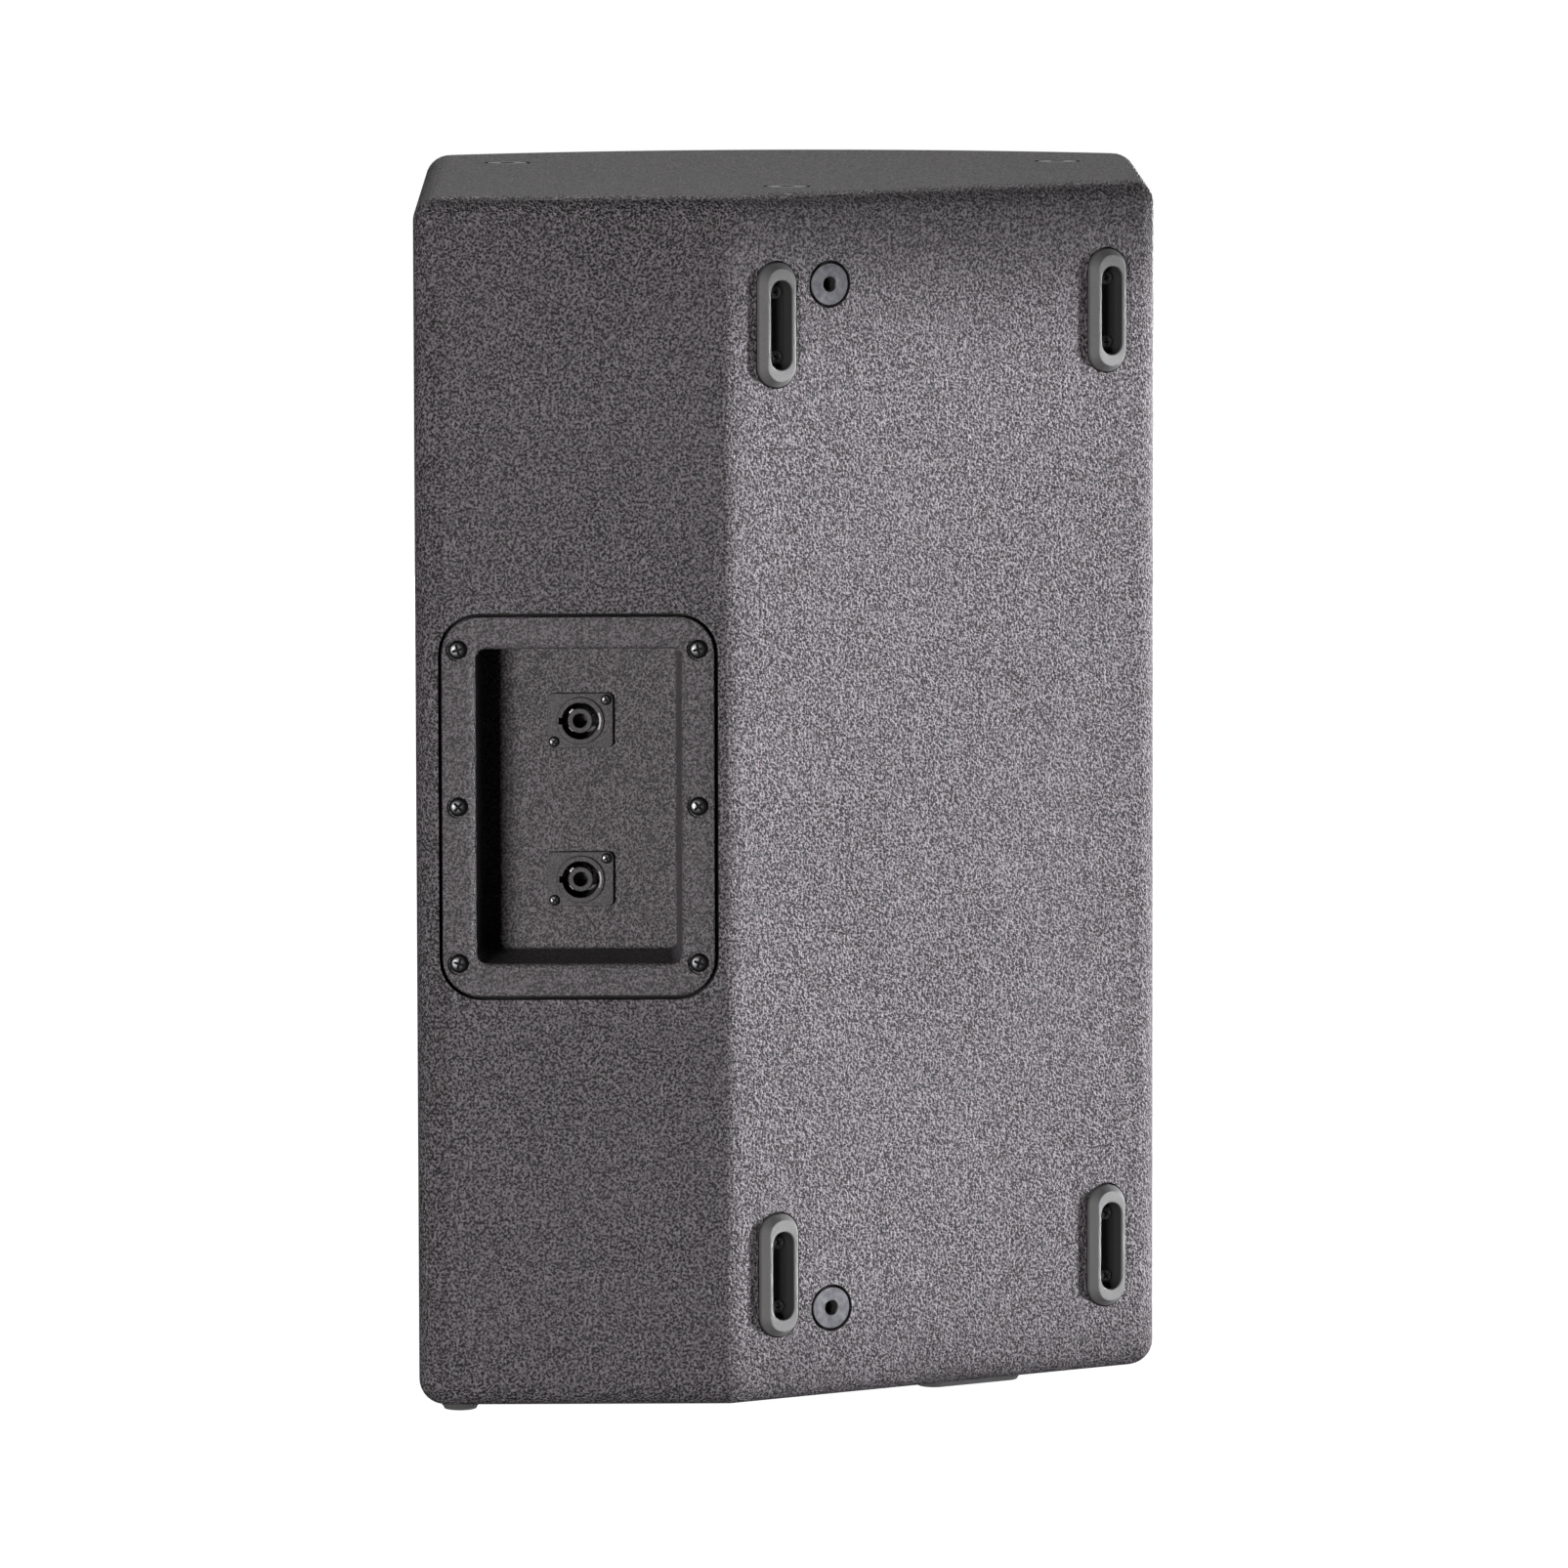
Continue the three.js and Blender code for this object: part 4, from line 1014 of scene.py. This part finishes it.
# The plain border is a lattice of small quads that meets the cells point by point.
def borderShape():
    g = grille
    half, row, columns, rows = g["pitch"] / 2, g["row"], g["columns"], g["rows"]
    field, end = (columns + 0.5) * half, arcEnd()
    bottom = (g["low"] + g["high"] - rows * row) / 2
    outer = [field + 4, field + 9, end, end + 0.6, end + 1.2, end + 1.8, end + 6, end + g["lip"]]
    first, last = len(outer), len(outer) + 2 * columns + 1
    us = [-u for u in reversed(outer)] + [k * half - field for k in range(2 * columns + 2)] + outer
    vs = [g["low"], g["low"] + g["margin"]] + [bottom + k * row for k in range(rows + 1)]
    vs += [g["high"] - g["margin"], g["high"]]
    faces = []
    for j in range(len(vs) - 1):
        line = j - 2
        gap = last - 1 if line % 2 == 0 else first
        for i in range(len(us) - 1):
            if 0 <= line < rows and first <= i < last and i != gap:
                continue
            a = j * len(us) + i
            faces.append((a, a + 1, a + len(us) + 1, a + len(us)))
    return [Vector(bentPoint(u, v)) * mm for v in vs for u in us], faces


def makeGrille():
    g = grille
    cell = makeCell()
    lengths = {"Pitch": g["pitch"], "Row": g["row"], "Radius": g["radius"], "Centre": g["centreY"]}
    lengths.update({"Middle": (g["low"] + g["high"]) / 2, "Join": 0.03})
    values = {"Cell": cell, "Columns": g["columns"], "Rows": g["rows"]}
    values.update({name: length * mm for name, length in lengths.items()})
    piece = newObject("grille", bpy.data.meshes.new("grille"))
    runTree(piece, perforationTree(grilleCoat), values)
    discard(cell)
    mesh = bmesh.new()
    mesh.from_mesh(piece.data)
    addFaces(mesh, *borderShape())
    loose = [v for v in mesh.verts if not v.link_faces]
    bmesh.ops.delete(mesh, geom=loose, context="VERTS")
    bmesh.ops.remove_doubles(mesh, verts=mesh.verts, dist=0.00008)
    mesh.to_mesh(piece.data)
    mesh.free()
    wall = piece.modifiers.new("wall", "SOLIDIFY")
    wall.thickness = g["thick"] * mm
    wall.offset = -1
    settle(piece)
    smooth(piece, 40)
    dress(piece, grilleCoat, ["grille"])

    places = []
    for x, z in g["screws"]:
        lean = math.asin(x / g["radius"])
        out = math.sin(lean), -math.cos(lean), 0
        where = face((x, g["centreY"] + g["radius"] * out[1], z), out, (0, 0, 1))
        places.append(where @ Matrix.Translation((0, 0, -0.2)))
    layScrews("grilleScrews", places, 0.9, [f"grille_screw_{k}" for k in range(1, 5)], castCoat)


makeGrille()
print("grille is perforated and bent")

# The woofer's shapes are turned about its own axis, with z towards the listener.
woofer = {
    "z": 182,
    "frame": [(155, 0.4), (155, 3.6), (153.6, 5), (151.5, 5), (150.8, 4.2), (143.4, 4.2), (142.8, 5),
              (137.6, 5), (136.4, 3.9), (136, 3), (132.2, 1.8), (132.2, -4), (138, -4), (138, 0.4)],
    "screwRing": 147,
    "neck": [(40.8, -51), (42, -50)],
    "cone": (43, 117.6, -49, 43), "coneRib": 0.55, "coneThick": 1.5,
    "cap": (84, 0.617, -25.3), "capFoot": (49.2, -41.6), "capThick": 1.2,
    "surround": (117.4, 18.2, -4.4, 10.0), "surroundPleat": 0.85,
    "surroundThick": 0.9, "spider": (40.4, 47.6, -63.5, 5.0), "spiderPleat": 0.8,
    "spiderThick": 0.7,
}
wooferPlace = at(frontFace, 0, woofer["z"])


# A thin shell turned from a line of (radius, z). One that starts off the axis is open there.
def makeShell(name, line, thick, place, count, material, node, body):
    wall = turned(sheet(line, thick), count, loop=line[0][0] > 0)
    piece = makeObject(name, wall, place, 60)
    dress(piece, material, [node], body)
    return piece


# Small pleats on a slope, so that each point follows the cone in step with its depth.
def pleated(inner, width, low, rise, pleat, waves, steps):
    parts = [k / steps for k in range(steps + 1)]
    wave = [pleat * math.sin(part * waves * 2 * math.pi) for part in parts]
    return [(inner + width * part, low + rise * part + up) for part, up in zip(parts, wave)]


def makeWoofer():
    w = woofer
    ring = makeObject("wooferFrame", turned(w["frame"], 128, loop=True), wooferPlace)
    dress(flatten(ring, 30), castCoat)
    places = []
    for k in range(8):
        t = (k + 0.5) * math.pi / 4
        places.append(at(wooferPlace, *polar(w["screwRing"], t), t, 4.1))
    layScrews("wooferScrews", places, 0.85)

    inner, outer, low, rise = w["cone"]
    line = list(w["neck"])
    for k in range(41):
        part = k / 40
        ribbed = 0.35 < part < 0.95
        rib = w["coneRib"] * max(0, math.sin(part * 9 * math.pi)) ** 2 if ribbed else 0
        line.append((inner + (outer - inner) * part, low + rise * part ** 0.86 + rib))
    makeShell("wooferCone", line, w["coneThick"], wooferPlace, 128,
              conePaper, "woofer_cone", "cone")

    radius, spread, top = w["cap"]
    line = [(0, top)]
    for k in range(1, 15):
        t = k / 14 * spread
        line.append((radius * math.sin(t), top - radius * (1 - math.cos(t))))
    makeShell("dustCap", line + [w["capFoot"]], w["capThick"], wooferPlace, 96,
              conePaper, "woofer_dust_cap", "cone")

    line = pleated(*w["surround"], w["surroundPleat"], 3, 36)
    edge = makeShell("wooferSurround", line, w["surroundThick"], wooferPlace, 128,
                     surroundCloth, "woofer_surround", None)
    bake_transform(edge)

    line = pleated(*w["spider"], w["spiderPleat"], 7, 48)
    spider = makeShell("wooferSpider", line, w["spiderThick"], wooferPlace, 96,
                       spiderCloth, "woofer_spider", None)
    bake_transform(spider)


makeWoofer()
print("woofer is made")

horn = {
    "z": 448, "flange": 196, "corner": 12, "mouth": 85, "throat": 12.7,
    "depth": 104, "wall": 2.6, "groove": (183, 181.5), "screw": 91,
    "dome": (31, 0.8, -140.3),
    "domeFoot": [(24.5, -139.6), (26.5, -140.6), (28.4, -140.3)],
    "domeThick": 0.5,
}
hornPlace = at(frontFace, 0, horn["z"])


# A ring that goes from round at the throat to a soft square at the mouth.
def flareRing(half, blend, z, sides=64):
    power = 2 + 6 * (1 - blend) ** 2
    ring = []
    for k in range(sides):
        t = 2 * math.pi * k / sides
        c, s = math.cos(t), math.sin(t)
        reach = half / (abs(c) ** power + abs(s) ** power) ** (1 / power)
        ring.append((reach * c, reach * s, z))
    return ring


def makeHorn():
    h = horn
    mouth, throat, screw = h["mouth"], h["throat"], h["screw"]
    inside, outside = [], []
    for k in range(25):
        part = (k / 24) ** 1.25
        half = throat + (mouth - throat) * (1 - part) ** 1.8
        z = 4.2 - part * (h["depth"] - 0.2)
        inside.append(flareRing(half, part, z))
        outside.append(flareRing(half + h["wall"], part, min(z, 2.0)))
    lip = [flareRing(mouth + grow, 0, 4.9) for grow in (2.4, 0.9)]
    wall = loft(list(reversed(outside)) + lip + inside, loop=True)
    bell = makeObject("horn", wall, hornPlace, 50)
    flange = slab(h["flange"], h["flange"], h["corner"], 0.4, 4.8, 0.8, 8)
    plate = makeObject("plate", flange, hornPlace)
    hole = loft([flareRing(mouth + 1.5, 0, z) for z in (-2, 8)])
    wide, narrow = h["groove"]
    corners = (wide, 4.0), (wide, 7), (narrow, 7), (narrow, 4.0)
    groove = loft([rounded(x, x, 10, z) for x, z in corners], loop=True)
    carve(plate, makeObject("opening", hole, hornPlace), makeObject("groove", groove, hornPlace))
    neck = [(throat, -99.9), (40, -99.9), (40, -95), (18, -93), (throat + 0.1, -96)]
    neck = makeObject("neck", turned(neck, 48, loop=True), hornPlace)
    carve(bell, plate, neck, operation="UNION")
    flatten(bell)
    dress(bell, hornPlastic, ["horn"])
    spots = [(x, y) for x in (-screw, screw) for y in (-screw, screw)]
    places = [at(hornPlace, x, y, x * y * 0.001, 4.6) for x, y in spots]
    layScrews("hornScrews", places, 0.66)

    radius, spread, foot = h["dome"]
    line = []
    for k in range(13):
        t = k / 12 * spread
        line.append((radius * math.sin(t), foot + radius * (math.cos(t) - math.cos(spread))))
    makeShell("driverDome", line + h["domeFoot"], h["domeThick"], hornPlace, 64,
              titaniumFoil, "driver_diaphragm", "diaphragm")


makeHorn()
print("horn is made")

def makePoleCup():
    c = poleCup
    bore, outer, flange = c["bore"], c["bore"] + c["wall"], c["flange"]
    floor, under, back, top, low = -c["depth"], -c["depth"] - c["wall"], -c["flangeThick"], -0.05, -0.5
    where = at(bottomFace, 0, c["y"])
    profile = [(0, under), (outer - 2, under), (outer, under + 2), (outer, back), (flange, back)]
    profile += [(flange, -0.8), (flange - 0.8, top), (31, top), (30.4, low), (24, low), (23.4, top)]
    profile += [(bore + 1.6, top), (bore + 0.5, low), (bore, -1.7), (bore, floor), (0, floor)]
    cup = makeObject("poleCup", turned(profile, 96), where)
    dress(flatten(cup), blackPlastic, ["pole_cup"])
    turns = (0.785, 2.356, 3.927, 5.498)
    spots = [at(where, *polar(c["screwRing"], t), t, -0.3) for t in turns]
    layScrews("poleCupScrews", spots, 0.8)


makePoleCup()
print("pole cup is made")

padding = {
    "wide": 148, "tall": 248, "low": -37, "high": -17, "x": 138, "y": 190,
    "lumps": 1.3, "grid": (30, 48),
}


# A soft pad: full in the middle, thin and pulled in along its edges, with shallow tufts.
def makeWadding():
    p = padding
    across, along = p["grid"]
    middle, half = (p["low"] + p["high"]) / 2, (p["high"] - p["low"]) / 2 - p["lumps"] - 1
    top, bottom = [], []
    for j in range(along + 1):
        for i in range(across + 1):
            a, b = 2 * i / across - 1, 2 * j / along - 1
            full = (1 - abs(a) ** 4) ** 0.5 * (1 - abs(b) ** 6) ** 0.5
            pull = 1 - 0.03 * (1 - abs(b)) * abs(a) - 0.02 * abs(b)
            lump = p["lumps"] * math.sin(5.3 * a + 1.7 * b) * math.cos(7.1 * b - 2.2 * a) * full
            x, y = a * p["wide"] / 2 * pull, b * p["tall"] / 2 * (1 - 0.015 * (1 - abs(a)))
            top.append((x, y, middle + 1 + half * full + lump))
            bottom.append((x, y, middle - 1 - half * full))
    count, under, faces = across + 1, len(top), []
    for j in range(along):
        for i in range(across):
            a = j * count + i
            b = a + under
            faces += [(a, a + 1, a + count + 1, a + count), (b + count, b + count + 1, b + 1, b)]
    rim = list(range(count)) + [j * count + across for j in range(1, along + 1)]
    rim += [along * count + i for i in range(across - 1, -1, -1)]
    rim += [j * count for j in range(along - 1, 0, -1)]
    for a, b in zip(rim, rim[1:] + rim[:1]):
        faces.append((b, a, a + under, b + under))
    pad = makeObject("wadding", (top + bottom, faces), at(monitorFace, p["x"], p["y"]), 80)
    dress(pad, paleWadding, ["damping_wadding"])


def dressNodes():
    finishOf = {
        "front_baffle": bafflePaint,
        "cross_brace": plywood,
        "dish_gasket": blackRubber,
        "woofer_basket": castCoat,
        "woofer_magnet": castCoat,
        "woofer_voice_coil": copperWinding,
        "compression_driver": castCoat,
        "crossover_board": boardGreen,
    }
    finishOf.update({name + "_wire": cableJacket for name in ("input", "woofer", "driver")})
    finishOf.update({name.replace("bolt", "plate"): zincSteel for name in bolts["places"]})
    for name, material in finishOf.items():
        for slot in bpy.data.objects[name].material_slots:
            slot.material = material


makeWadding()
dressNodes()
print("inner pieces are dressed")
